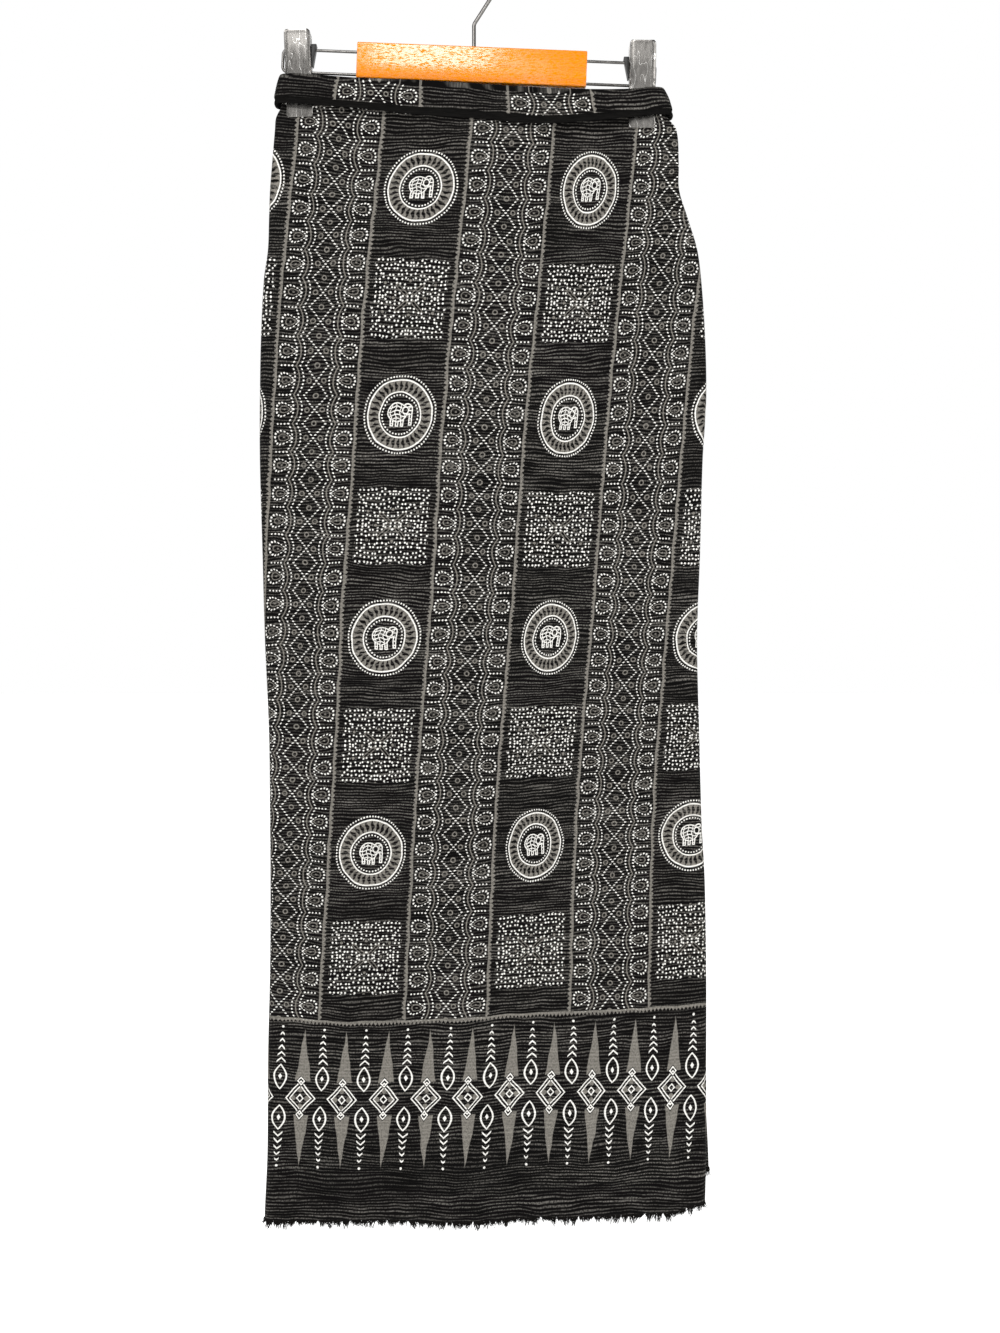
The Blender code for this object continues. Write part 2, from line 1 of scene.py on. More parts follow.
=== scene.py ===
"""Looks of a wrap maxi skirt on its clip hanger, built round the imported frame.

Metres, +Z up, the front faces -Y. A drop is a depth below the place where a rail bears on the hook.
On the cloth, u runs along the panel and v up from its hem, both in millimetres of its print.
"""

import logging
import math
from dataclasses import dataclass
from enum import Enum

import bpy
import numpy as np
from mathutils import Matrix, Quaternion, Vector

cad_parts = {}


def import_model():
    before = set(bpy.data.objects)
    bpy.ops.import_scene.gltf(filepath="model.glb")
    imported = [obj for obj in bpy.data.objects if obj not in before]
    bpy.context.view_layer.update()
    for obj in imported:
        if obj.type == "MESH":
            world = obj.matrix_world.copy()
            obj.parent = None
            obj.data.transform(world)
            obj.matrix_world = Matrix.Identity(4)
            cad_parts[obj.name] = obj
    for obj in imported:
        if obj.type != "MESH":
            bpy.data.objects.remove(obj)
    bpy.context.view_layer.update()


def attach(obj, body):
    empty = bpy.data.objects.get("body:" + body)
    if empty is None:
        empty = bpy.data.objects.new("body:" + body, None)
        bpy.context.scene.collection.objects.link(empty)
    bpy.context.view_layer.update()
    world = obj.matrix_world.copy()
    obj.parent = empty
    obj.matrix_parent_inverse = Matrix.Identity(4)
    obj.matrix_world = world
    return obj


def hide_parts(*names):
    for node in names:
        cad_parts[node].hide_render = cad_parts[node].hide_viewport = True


Array = np.ndarray
Pair = tuple[float, float]
Triple = tuple[float, float, float]
Place = Triple
Rows = tuple[tuple[float, ...], ...]
LOG = logging.getLogger("skirt")
BODY = "root"
PRINT_MAP = "print"
MM = 0.001
# Millimetres over which a printed edge fades, and a toothed line's reach to each side
SOFT_EDGE = 0.45
LINE_IN = 0.75
LINE_OUT = 0.6
# Degrees from which a bend in metal or wood shows as an edge
SHARP_FROM = 50.0
# Points nearer to each other than this are joined
SAME_POINT = 1e-6


def linear(code: str) -> tuple[float, float, float, float]:
    """Turn an sRGB hex code into linear colour.

    Args:
        code: six hex digits.

    Returns:
        Red, green, blue and an alpha of 1.
    """
    shares = [int(code[i : i + 2], 16) / 255 for i in (0, 2, 4)]
    return (*(s / 12.92 if s <= 0.04045 else ((s + 0.055) / 1.055) ** 2.4 for s in shares), 1.0)


def ease(share: Array) -> Array:
    """A smooth step from 0 to 1."""
    share = np.clip(share, 0.0, 1.0)
    return share * share * (3.0 - 2.0 * share)


class SmoothTable:
    """A short table with named columns, read along its first one on smooth curves."""

    def __init__(self, columns: str, rows: Rows) -> None:
        """Keep the rows and the slope at each.

        Args:
            columns: the names of the columns, the first being the place.
            rows: the table's rows, in order of place.
        """
        self.columns = columns.split()
        self.cells = np.array(rows, float)
        self.slopes = np.zeros_like(self.cells)
        spans = self.cells[2:, :1] - self.cells[:-2, :1]
        self.slopes[1:-1] = (self.cells[2:] - self.cells[:-2]) / spans

    def read(self, at: Array | float, column: str) -> Array:
        """Read a column at one place or many.

        Args:
            at: places along the first column.
            column: the name of the column to read.

        Returns:
            Its values there.
        """
        what = self.columns.index(column)
        places = self.cells[:, 0]
        at = np.clip(at, places[0], places[-1])
        low = np.clip(np.searchsorted(places, at, side="right") - 1, 0, len(places) - 2)
        span = places[low + 1] - places[low]
        share = (at - places[low]) / span
        square, cube = share**2, share**3
        ends = self.cells[low, what] * (2 * cube - 3 * square + 1)
        ends = ends + self.cells[low + 1, what] * (3 * square - 2 * cube)
        turns = self.slopes[low, what] * (cube - 2 * square + share)
        turns = turns + self.slopes[low + 1, what] * (cube - square)
        return ends + turns * span


class PlaceFit:
    """A value known at marks on the cloth, read smoothly anywhere between them."""

    def __init__(self, marks: tuple[Place, ...], slack: float = 1e-5) -> None:
        """Fit a thin plate through the marks.

        Args:
            marks: rows of the value, its x and its drop.
            slack: how far the plate may pass from a mark, to even out small errors.
        """
        table = np.array(marks)
        count = len(table)
        self.places = table[:, 1:]
        plane = np.column_stack([np.ones(count), self.places])
        bending = self._bending(self.places) + slack * np.eye(count)
        system = np.block([[bending, plane], [plane.T, np.zeros((3, 3))]])
        self.weights = np.linalg.solve(system, np.concatenate([table[:, 0], np.zeros(3)]))

    def _bending(self, places: Array) -> Array:
        """The plate's shape at each place for each mark."""
        far = np.linalg.norm(places[:, None] - self.places[None], axis=2)
        return far**2 * np.log(np.maximum(far, 1e-9))

    def read(self, across: Array, drop: Array) -> Array:
        """The value at places on the cloth."""
        places = np.column_stack([across.ravel(), drop.ravel()])
        plane = np.column_stack([np.ones(len(places)), places])
        values = self._bending(places) @ self.weights[:-3] + plane @ self.weights[-3:]
        return values.reshape(across.shape)


def add_node(
    tree: bpy.types.NodeTree,
    kind: str,
    settings: dict[str, object] | None = None,
    inputs: dict[str | int, object] | None = None,
) -> bpy.types.Node:
    """Add one node with its settings, values and links.

    Args:
        tree: the node tree to add it to.
        kind: the node's type.
        settings: its properties, by name.
        inputs: by name or number, a value, a Field, or a socket to link from.

    Returns:
        The new node.
    """
    node = tree.nodes.new(kind)
    for name, value in (settings or {}).items():
        setattr(node, name, value)
    set_inputs(node, inputs or {})
    return node


def set_inputs(node: bpy.types.Node, inputs: dict[str | int, object]) -> None:
    """Give a node its values and links.

    Args:
        node: the node.
        inputs: by name or number, a value, a Field, or a socket to link from.
    """
    for name, value in inputs.items():
        value = value.socket if isinstance(value, Field) else value
        if isinstance(value, bpy.types.NodeSocket):
            node.id_data.links.new(value, node.inputs[name])
        else:
            node.inputs[name].default_value = value


def blend(share: "Field", under: object, over: str) -> bpy.types.NodeSocket:
    """Lay one colour over another.

    Args:
        share: how much of the upper colour shows.
        under: the lower colour: an sRGB code, or a socket.
        over: the upper colour's sRGB code.

    Returns:
        The mixed colour's socket.
    """
    under = linear(under) if isinstance(under, str) else under
    settings = {"data_type": "RGBA", "clamp_factor": True}
    inputs = {0: share, 6: under, 7: linear(over)}
    return add_node(share.socket.id_data, "ShaderNodeMix", settings, inputs).outputs[2]


def new_material(name: str) -> tuple[bpy.types.Material, bpy.types.NodeTree, bpy.types.Node]:
    """Start a material, and return it with its nodes and its shader."""
    material = bpy.data.materials.new(name)
    material.use_nodes = True
    return material, material.node_tree, material.node_tree.nodes["Principled BSDF"]


def new_object(name: str, data: bpy.types.ID) -> bpy.types.Object:
    """Put new data into the scene as an object."""
    thing = bpy.data.objects.new(name, data)
    bpy.context.scene.collection.objects.link(thing)
    return thing


def pick(piece: bpy.types.Object) -> None:
    """Select one piece alone."""
    bpy.ops.object.select_all(action="DESELECT")
    piece.select_set(True)
    bpy.context.view_layer.objects.active = piece


def name_active(name: str) -> bpy.types.Object:
    """Name the piece that was just made, and its mesh."""
    piece = bpy.context.object
    piece.name = name
    piece.data.name = name
    return piece


def rounded_box(name: str, size: Place, edge: float, segments: int) -> bpy.types.Object:
    """Make a box with rounded edges, about its own centre.

    Args:
        name: the piece's name.
        size: its size along each axis.
        edge: the radius of its edges.
        segments: faces round each edge.

    Returns:
        The box.
    """
    bpy.ops.object.select_all(action="DESELECT")
    bpy.ops.mesh.primitive_cube_add(size=1.0)
    piece = name_active(name)
    bpy.ops.object.mode_set(mode="EDIT")
    bpy.ops.mesh.select_all(action="SELECT")
    bpy.ops.transform.resize(value=size)
    bpy.ops.mesh.bevel(offset=edge, segments=segments, affect="EDGES")
    bpy.ops.object.mode_set(mode="OBJECT")
    return piece


def thicken(piece: bpy.types.Object, thickness: float) -> None:
    """Give a bare surface its thickness, half to each side."""
    solidify = piece.modifiers.new("wall", "SOLIDIFY")
    solidify.thickness = thickness
    solidify.offset = 0.0
    pick(piece)
    bpy.ops.object.modifier_apply(modifier=solidify.name)


def shade(piece: bpy.types.Object, degrees: float = SHARP_FROM) -> None:
    """Shade a piece smooth, but for edges that turn more than an angle."""
    piece.data.shade_smooth()
    piece.data.set_sharp_from_angle(angle=math.radians(degrees))


def add_to_model(piece: bpy.types.Object, node: str, slot: str, *finishes: bpy.types.Material) -> None:
    """Give a piece its materials and put it in the model.

    Args:
        piece: the finished mesh.
        node: the CAD node that it stands for.
        slot: the record's material slot; not used.
        finishes: its materials.
    """
    for finish in finishes:
        piece.data.materials.append(finish)
    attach(piece, BODY)
    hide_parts(node)
    LOG.info("%s stands for %s", piece.name, node)


class Field:
    """A number that varies over a surface. Working with it adds Math nodes."""

    def __init__(self, socket: bpy.types.NodeSocket) -> None:
        """Stand for a node's output."""
        self.socket = socket

    def work(self, operation: str, *others: "Field | float", clamp: bool = False) -> "Field":
        """Apply one Math operation.

        Args:
            operation: the Math node's operation.
            others: its second and third numbers.
            clamp: keep the result from 0 to 1.

        Returns:
            The result.
        """
        settings = {"operation": operation, "use_clamp": clamp}
        numbers = dict(enumerate((self, *others)))
        return Field(add_node(self.socket.id_data, "ShaderNodeMath", settings, numbers).outputs[0])

    def __add__(self, other: "Field | float") -> "Field":
        """Sum."""
        return self.work("ADD", other)

    def __sub__(self, other: "Field | float") -> "Field":
        """Difference."""
        return self.work("SUBTRACT", other)

    def __mul__(self, other: "Field | float") -> "Field":
        """Product, and the overlap of two coverages."""
        return self.work("MULTIPLY", other)

    def __or__(self, other: "Field | float") -> "Field":
        """The larger, and the union of two coverages."""
        return self.work("MAXIMUM", other)

    def __abs__(self) -> "Field":
        """Size without its sign."""
        return self.work("ABSOLUTE")

    def outside(self) -> "Field":
        """What a coverage leaves."""
        return self.work("MULTIPLY_ADD", -1.0, 1.0)

    def repeat(self, pitch: float) -> "Field":
        """Distance from the nearest of marks at each pitch, with its sign."""
        return self.work("WRAP", pitch / 2, -pitch / 2)

    def far(self, other: "Field") -> "Field":
        """Distance from zero of two lengths at right angles."""
        return other.work("MULTIPLY_ADD", other, self * self).work("SQRT")

    def under(self, limit: float, soft: float = SOFT_EDGE) -> "Field":
        """Cover what is less than a limit, with a soft edge."""
        return self.work("MULTIPLY_ADD", -1.0 / soft, limit / soft + 0.5, clamp=True)

    def over(self, limit: float, soft: float = SOFT_EDGE) -> "Field":
        """Cover what is more than a limit, with a soft edge."""
        return self.work("MULTIPLY_ADD", 1.0 / soft, 0.5 - limit / soft, clamp=True)

    def line(self, half_width: float) -> "Field":
        """Cover a line where the number is zero."""
        return abs(self).under(half_width)

    def toothed(self, along: "Field", pitch: float, depth: float) -> "Field":
        """Cover a line where the number is zero, with teeth on its outer side.

        Args:
            along: distance along the line.
            pitch: from tooth to tooth.
            depth: how far the teeth stand out.

        Returns:
            Its coverage.
        """
        tooth = abs(along.repeat(pitch)) * (2 * depth / pitch)
        return self.over(-LINE_IN) * (self + tooth).under(LINE_OUT + depth)


@dataclass(frozen=True)
class Ink:
    """What a motif prints: how much of each ink lies at a place."""

    white: Field
    grey: Field

    def within(self, cover: Field) -> "Ink":
        """Keep what lies inside a coverage."""
        return Ink(self.white * cover, self.grey * cover)

    def __or__(self, other: "Ink") -> "Ink":
        """Both motifs together."""
        return Ink(self.white | other.white, self.grey | other.grey)


@dataclass(frozen=True)
class DropColumn:
    """A column of beaded drops on both sides of a string of beaded lozenges, in millimetres."""

    width: float = 71.0
    pitch: float = 24.0
    dot: float = 0.68
    drop_at: float = 25.9
    drop_half: float = 6.9
    drop_tall: float = 5.2
    drop_taper: float = 2.3
    bead_ring: float = 5.9
    bead_count: int = 15
    bead_step: float = 2.5
    # The heart in each drop, as shares of the drop
    heart_off: float = 0.06
    heart_squash: float = 1.15
    heart_ring: float = 0.6
    heart_line: float = 0.06
    heart_seed: float = 0.14
    heart_soft: float = 0.07
    row_at: float = 26.3
    row_half: float = 5.4
    row_step: float = 3.1
    scallop_at: float = 14.8
    scallop_deep: float = 3.9
    scallop_beads_off: float = 3.5
    scallop_step: float = 3.0
    grey_half: float = 0.5
    lozenge_half: float = 10.0
    lozenge_step: float = 2.4
    lozenge_slope: Pair = (0.77, 1.3)
    ring_at: float = 6.6
    ring: float = 1.9
    # Printed at 3.4 mm; drawn coarser, so that the teeth stay apart from a step away
    tooth_pitch: float = 4.0
    tooth: float = 2.4

    def draw(self, x: Field, y: Field) -> Ink:
        """The column, folded about its centre and about each row of drops.

        Args:
            x: distance from the column's centre.
            y: distance from the nearest row of drops.

        Returns:
            Its ink.
        """
        half = self.pitch / 2
        between = y.work("MULTIPLY_ADD", -1.0, half)
        row = x.repeat(self.row_step).far(between).under(self.dot) * (x - self.row_at).line(self.row_half)
        scallop = x - (y * y).work("MULTIPLY_ADD", self.scallop_deep / half**2, self.scallop_at)
        beads = y.repeat(self.scallop_step)
        beaded = (abs(scallop) - self.scallop_beads_off).far(beads).under(self.dot)
        steep, gentle = self.lozenge_slope
        side = (x - y * (self.lozenge_half / half)) * steep
        lattice = side.far(y.repeat(self.lozenge_step) * gentle).under(self.dot)
        ring = ((x - self.ring_at).far(y) - self.ring).line(self.grey_half)
        ring = ring | (x.far(between) - self.ring).line(self.grey_half)
        edge = (x - self.width / 2).toothed(y, self.tooth_pitch, self.tooth)
        drop = self.drop(x, y)
        white = drop.white | row | beaded | lattice
        return Ink(white, drop.grey | scallop.line(self.grey_half) | ring | edge)

    def drop(self, x: Field, y: Field) -> Ink:
        """One drop: beads round a grey heart, pointed toward the lozenges.

        Args:
            x: distance from the column's centre.
            y: distance from the row of drops.

        Returns:
            Its ink.
        """
        across = (x - self.drop_at) * (1 / self.drop_half)
        up = y.work("DIVIDE", across.work("MULTIPLY_ADD", self.drop_taper, self.drop_tall))
        turn = up.work("ARCTAN2", across)
        beads = (turn * (self.bead_count / math.tau)).repeat(1.0) * self.bead_step
        white = ((across.far(up) - 1.0) * self.bead_ring).far(beads).under(self.dot)
        heart = (across + self.heart_off).far(up * self.heart_squash)
        outline = abs(heart - self.heart_ring).under(self.heart_line, self.heart_soft)
        return Ink(white, outline | heart.under(self.heart_seed, self.heart_soft))


@dataclass(frozen=True)
class Elephant:
    """A small line-filled elephant that faces right, of plain ovals and bars, in millimetres."""

    wide: float = 1.1
    tall: float = 1.06
    # Ovals: across, up, how flat, radius
    body: tuple[float, ...] = (-2.6, 2.4, 1.16, 9.4)
    head: tuple[float, ...] = (7.0, 5.2, 1.0, 5.2)
    # Bar: across, half width, up, half height
    trunk: tuple[float, ...] = (10.4, 1.8, -1.8, 6.8)
    leg_pitch: float = 5.0
    leg_half: float = 1.7
    legs_up: float = -6.2
    legs_tall: float = 3.6
    legs_reach: float = 7.4
    ear_at: Pair = (4.8, 4.2)
    ear: float = 2.9
    ear_clear: float = 3.6
    line: float = 0.5
    inset: float = 0.6
    fill_inset: float = 1.2
    # Lines over it: pitch, half width, wave height, turns to the millimetre
    folds: tuple[float, ...] = (3.3, 0.4, 0.9, 0.5)
    bands: tuple[float, ...] = (4.2, 0.35, 0.8, 0.6)

    def draw(self, across: Field, up: Field) -> Field:
        """The elephant.

        Args:
            across: distance right of the disc's centre.
            up: distance above it.

        Returns:
            Its coverage.
        """
        across, up = across * self.wide, up * self.tall
        middle, half, rise, reach = self.trunk
        trunk = (abs(across - middle) - half) | (abs(up - rise) - reach)
        from_body = across - self.body[0]
        legs = (abs(from_body.repeat(self.leg_pitch)) - self.leg_half) | (abs(from_body) - self.legs_reach)
        legs = legs | (abs(up - self.legs_up) - self.legs_tall)
        shape = self.oval(across, up, self.body).work("MINIMUM", self.oval(across, up, self.head))
        shape = shape.work("MINIMUM", trunk).work("MINIMUM", legs)
        ear = (across - self.ear_at[0]).far(up - self.ear_at[1])
        lines = self.waved(up, across, self.folds) | self.waved(across, up, self.bands)
        filled = lines * ear.over(self.ear_clear) | (ear - self.ear).line(self.line)
        return (shape + self.inset).line(self.line) | filled * shape.under(-self.fill_inset)

    def oval(self, across: Field, up: Field, oval: tuple[float, ...]) -> Field:
        """Distance outside an oval."""
        return (across - oval[0]).far((up - oval[1]) * oval[2]) - oval[3]

    def waved(self, place: Field, along: Field, lines: tuple[float, ...]) -> Field:
        """Cover waved lines at an even pitch."""
        pitch, half_width, height, turns = lines
        return (place + (along * turns).work("SINE") * height).repeat(pitch).line(half_width)


@dataclass(frozen=True)
class Disc:
    """A disc of dots, rings and petals round an elephant, in millimetres."""

    dot: float = 0.68
    # Rings of dots: radius and count
    dot_rings: tuple[tuple[float, int], ...] = ((31.6, 76), (15.8, 36))
    # White rings: radius and half width
    rings: tuple[Pair, ...] = ((28.6, 0.58), (18.4, 0.52))
    petals: int = 32
    petal_from: float = 18.6
    petal_to: float = 28.3
    petal_middle: float = 23.2
    petal_half: float = 0.38
    petal_narrowing: float = 0.072
    petal_soft: float = 0.12
    petal_wave: float = 0.09
    petal_turns: float = 0.9
    elephant: Elephant = Elephant()

    def draw(self, across: Field, up: Field) -> Ink:
        """The disc.

        Args:
            across: distance right of its centre.
            up: distance above it.

        Returns:
            Its ink.
        """
        radius = across.far(up)
        angle = up.work("ARCTAN2", across)
        white = self.elephant.draw(across, up)
        for at, count in self.dot_rings:
            along = (angle * (count / math.tau)).repeat(1.0) * (math.tau * at / count)
            white = white | (radius - at).far(along).under(self.dot)
        for at, half_width in self.rings:
            white = white | (radius - at).line(half_width)
        wave = (radius * self.petal_turns).work("SINE") * self.petal_wave
        petal = abs(angle.work("MULTIPLY_ADD", self.petals / math.tau, wave).repeat(1.0))
        off = abs(radius - self.petal_middle)
        swell = off.work("MULTIPLY_ADD", -self.petal_narrowing, self.petal_half)
        slit = (petal - swell).under(0.0, self.petal_soft)
        return Ink(white, radius.over(self.petal_from) * radius.under(self.petal_to) * slit.outside())


@dataclass(frozen=True)
class TiedSquare:
    """A square of tied dots, the same in its four quarters, about a crossed flower, in millimetres."""

    half_wide: float = 31.0
    half_tall: float = 32.6
    # Printed at 2.9 mm; drawn coarser, so that the dots stay apart from a step away
    knot_pitch: float = 3.5
    knot: float = 0.76
    knot_flat: float = 0.96
    unevenness: float = 0.6
    petal_at: float = 9.6
    petal: Pair = (1.3, 5.6)
    petal_rim: Pair = (2.2, 6.4)
    # Grey spots in a quarter: across, up
    spots: tuple[Pair, ...] = (
        (13.5, 0.0), (0.0, 14.0), (21.0, 12.0), (0.0, 33.0), (31.6, 15.0),
    )
    spot: float = 1.2
    spot_clear: float = 2.4

    def draw(self, across: Field, up: Field) -> Ink:
        """The square.

        Args:
            across: distance from its centre, either way.
            up: distance above or below its centre.

        Returns:
            Its ink.
        """
        tree = across.socket.id_data
        place = add_node(tree, "ShaderNodeCombineXYZ", None, {0: across, 1: up * self.knot_flat})
        inputs = {"Vector": place.outputs[0], "Scale": 1 / self.knot_pitch, "Randomness": self.unevenness}
        settings = {"voronoi_dimensions": "2D", "feature": "F1"}
        knots = Field(add_node(tree, "ShaderNodeTexVoronoi", settings, inputs).outputs["Distance"])
        inside = across.under(self.half_wide) * up.under(self.half_tall)
        middle = across.far(up) - self.petal_at
        petal = (across - up).line(self.petal[0]) * middle.line(self.petal[1])
        rim = (across - up).line(self.petal_rim[0]) * middle.line(self.petal_rim[1])
        away = [(across - spot_x).far(up - spot_y) for spot_x, spot_y in self.spots]
        nearest = away[0]
        for other in away[1:]:
            nearest = nearest.work("MINIMUM", other)
        white = (knots * self.knot_pitch).under(self.knot) * inside * rim.outside()
        spots = nearest.under(self.spot) * inside
        return Ink(white * nearest.over(self.spot_clear), rim * petal.outside() | spots)


@dataclass(frozen=True)
class Border:
    """The border above the hem: lozenges, leaves, chevrons and long grey points, in millimetres."""

    line: float = 172.0
    pitch: float = 36.5
    middle: float = 105.5
    offset: float = 23.0
    tooth_pitch: float = 3.4
    tooth: float = 2.6
    lozenge_slope: float = 14.4 / 13.0
    # Outlines of the lozenge, the outer two open at its tips: distance to its corner, half width
    lozenges: tuple[Pair, ...] = ((14.0, 0.72), (10.2, 0.66), (3.1, 0.7))
    tip_up: float = 14.2
    tip_slope: float = 1.15
    tip: float = 3.3
    tip_line: float = 0.75
    tip_clear: Pair = (4.0, 5.2)
    # Grey spots in the lozenge: across, up, radius
    spots: tuple[Triple, ...] = ((6.0, 0.0, 2.2), (0.0, 6.9, 2.0))
    leaf_up: float = 17.2
    leaf_half: float = 5.4
    leaf_curve: float = 0.052
    leaf_tall: float = 11.0
    leaf_line: float = 0.72
    seed: float = 2.6
    seed_slope: float = 1.6
    # Chevrons, on a tapering string that runs on from the leaf to a last dot
    chevron_slope: float = 0.85
    chevron_from: float = 31.0
    chevron_pitch: float = 5.15
    chevron_off: float = 2.2
    chevron_line: float = 0.72
    string_middle: float = 11.2
    string_half: float = 12.9
    string_taper: float = 0.105
    string_width: float = 7.2
    last_dot_up: float = 59.0
    last_dot: float = 1.0
    point_off: float = 1.3
    point_half: float = 8.8
    point_slope: float = 6.5 / 43.0
    point_from: float = 14.4
    point_clear: float = 5.0

    def draw(self, across: Field, height: Field) -> Ink:
        """The border.

        Args:
            across: u on the cloth.
            height: v on the cloth.

        Returns:
            Its ink.
        """
        step = across - self.offset
        x = abs(step.repeat(self.pitch))
        y = abs(height - self.middle)
        lozenge = x.work("MULTIPLY_ADD", self.lozenge_slope, y)
        tips = x.work("MULTIPLY_ADD", self.tip_slope, abs(y - self.tip_up))
        white = (tips - self.tip).line(self.tip_line)
        for at, half_width in self.lozenges:
            white = white | (lozenge - at).line(half_width)
        low, high = self.tip_clear
        white = white * (tips.over(high) | tips.under(low))
        white = white | self.leaves(x.work("MULTIPLY_ADD", -1.0, self.pitch / 2), y)
        point = abs((step - self.point_off).repeat(self.pitch)) + y * self.point_slope
        grey = point.under(self.point_half) * y.over(self.point_from) * tips.over(self.point_clear)
        for spot_x, spot_y, radius in self.spots:
            grey = grey | (x - spot_x).far(y - spot_y).under(radius)
        ruled = ((height - self.line) * -1.0).toothed(across, self.tooth_pitch, self.tooth)
        return Ink(white, grey * white.outside() | ruled)

    def leaves(self, x: Field, y: Field) -> Field:
        """The leaf between two lozenges, its seed, and the chevrons that run on from it.

        Args:
            x: distance from the leaf's centre line.
            y: distance from the border's middle.

        Returns:
            Their coverage.
        """
        up = abs(y - self.leaf_up)
        leaf = (x + up * up * self.leaf_curve - self.leaf_half).line(self.leaf_line)
        seed = x.work("MULTIPLY_ADD", self.seed_slope, up).under(self.seed)
        climb = (y - self.chevron_from) + x * self.chevron_slope
        width = y.work("MULTIPLY_ADD", -self.string_taper, self.string_width)
        chevrons = (climb - self.chevron_off).repeat(self.chevron_pitch).line(self.chevron_line)
        chevrons = chevrons * (climb - self.string_middle).line(self.string_half) * (x - width).under(0.0)
        last = x.far(y - self.last_dot_up).under(self.last_dot)
        return leaf * up.under(self.leaf_tall) | seed | chevrons | last


@dataclass(frozen=True)
class WrapPrint:
    """The traditional print of the panel, drawn in millimetres: columns of drops and of discs."""

    disc_column: float = 75.0
    repeat_up: float = 192.0
    disc_height: float = 324.0
    drop_shift: float = 3.5
    teeth_past: float = 2.6
    # The discs are a little taller than wide, and in every third column narrower again
    disc_across: float = 1.04
    disc_up: float = 0.96
    narrower: float = 0.18
    drops: DropColumn = DropColumn()
    disc: Disc = Disc()
    square: TiedSquare = TiedSquare()
    border: Border = Border()

    @property
    def period(self) -> float:
        """One column of each kind."""
        return self.drops.width + self.disc_column

    def draw(self, u: Field, v: Field) -> Ink:
        """The whole print.

        Args:
            u: millimetres along the panel.
            v: millimetres above the hem.

        Returns:
            Its ink.
        """
        column = abs(u.repeat(self.period))
        row = (v - (self.disc_height + self.drop_shift)).repeat(self.drops.pitch)
        in_drops = column.under(self.drops.width / 2 + self.teeth_past)
        across = (u - self.period / 2).repeat(self.period)
        narrow = abs((u - 1.5 * self.period).repeat(3 * self.period)).under(self.period / 2)
        up = (v - self.disc_height).repeat(self.repeat_up)
        beside = abs(up).work("MULTIPLY_ADD", -1.0, self.repeat_up / 2)
        oval = narrow.work("MULTIPLY_ADD", self.narrower, self.disc_across)
        discs = self.disc.draw(across * oval, up * self.disc_up)
        discs = discs | self.square.draw(abs(across), abs(beside))
        columns = self.drops.draw(column, abs(row)).within(in_drops) | discs.within(in_drops.outside())
        return columns.within(v.over(self.border.line)) | self.border.draw(u, v)


class Shade(Enum):
    """The cloth's colours, as sRGB codes."""

    GROUND = "070606"
    # Pale grey of the rib crowns: painted light on them, with the grooves left dark as painted shade
    RIB = "6b6863"
    WHITE = "edebe5"
    GREY = "7e7a73"


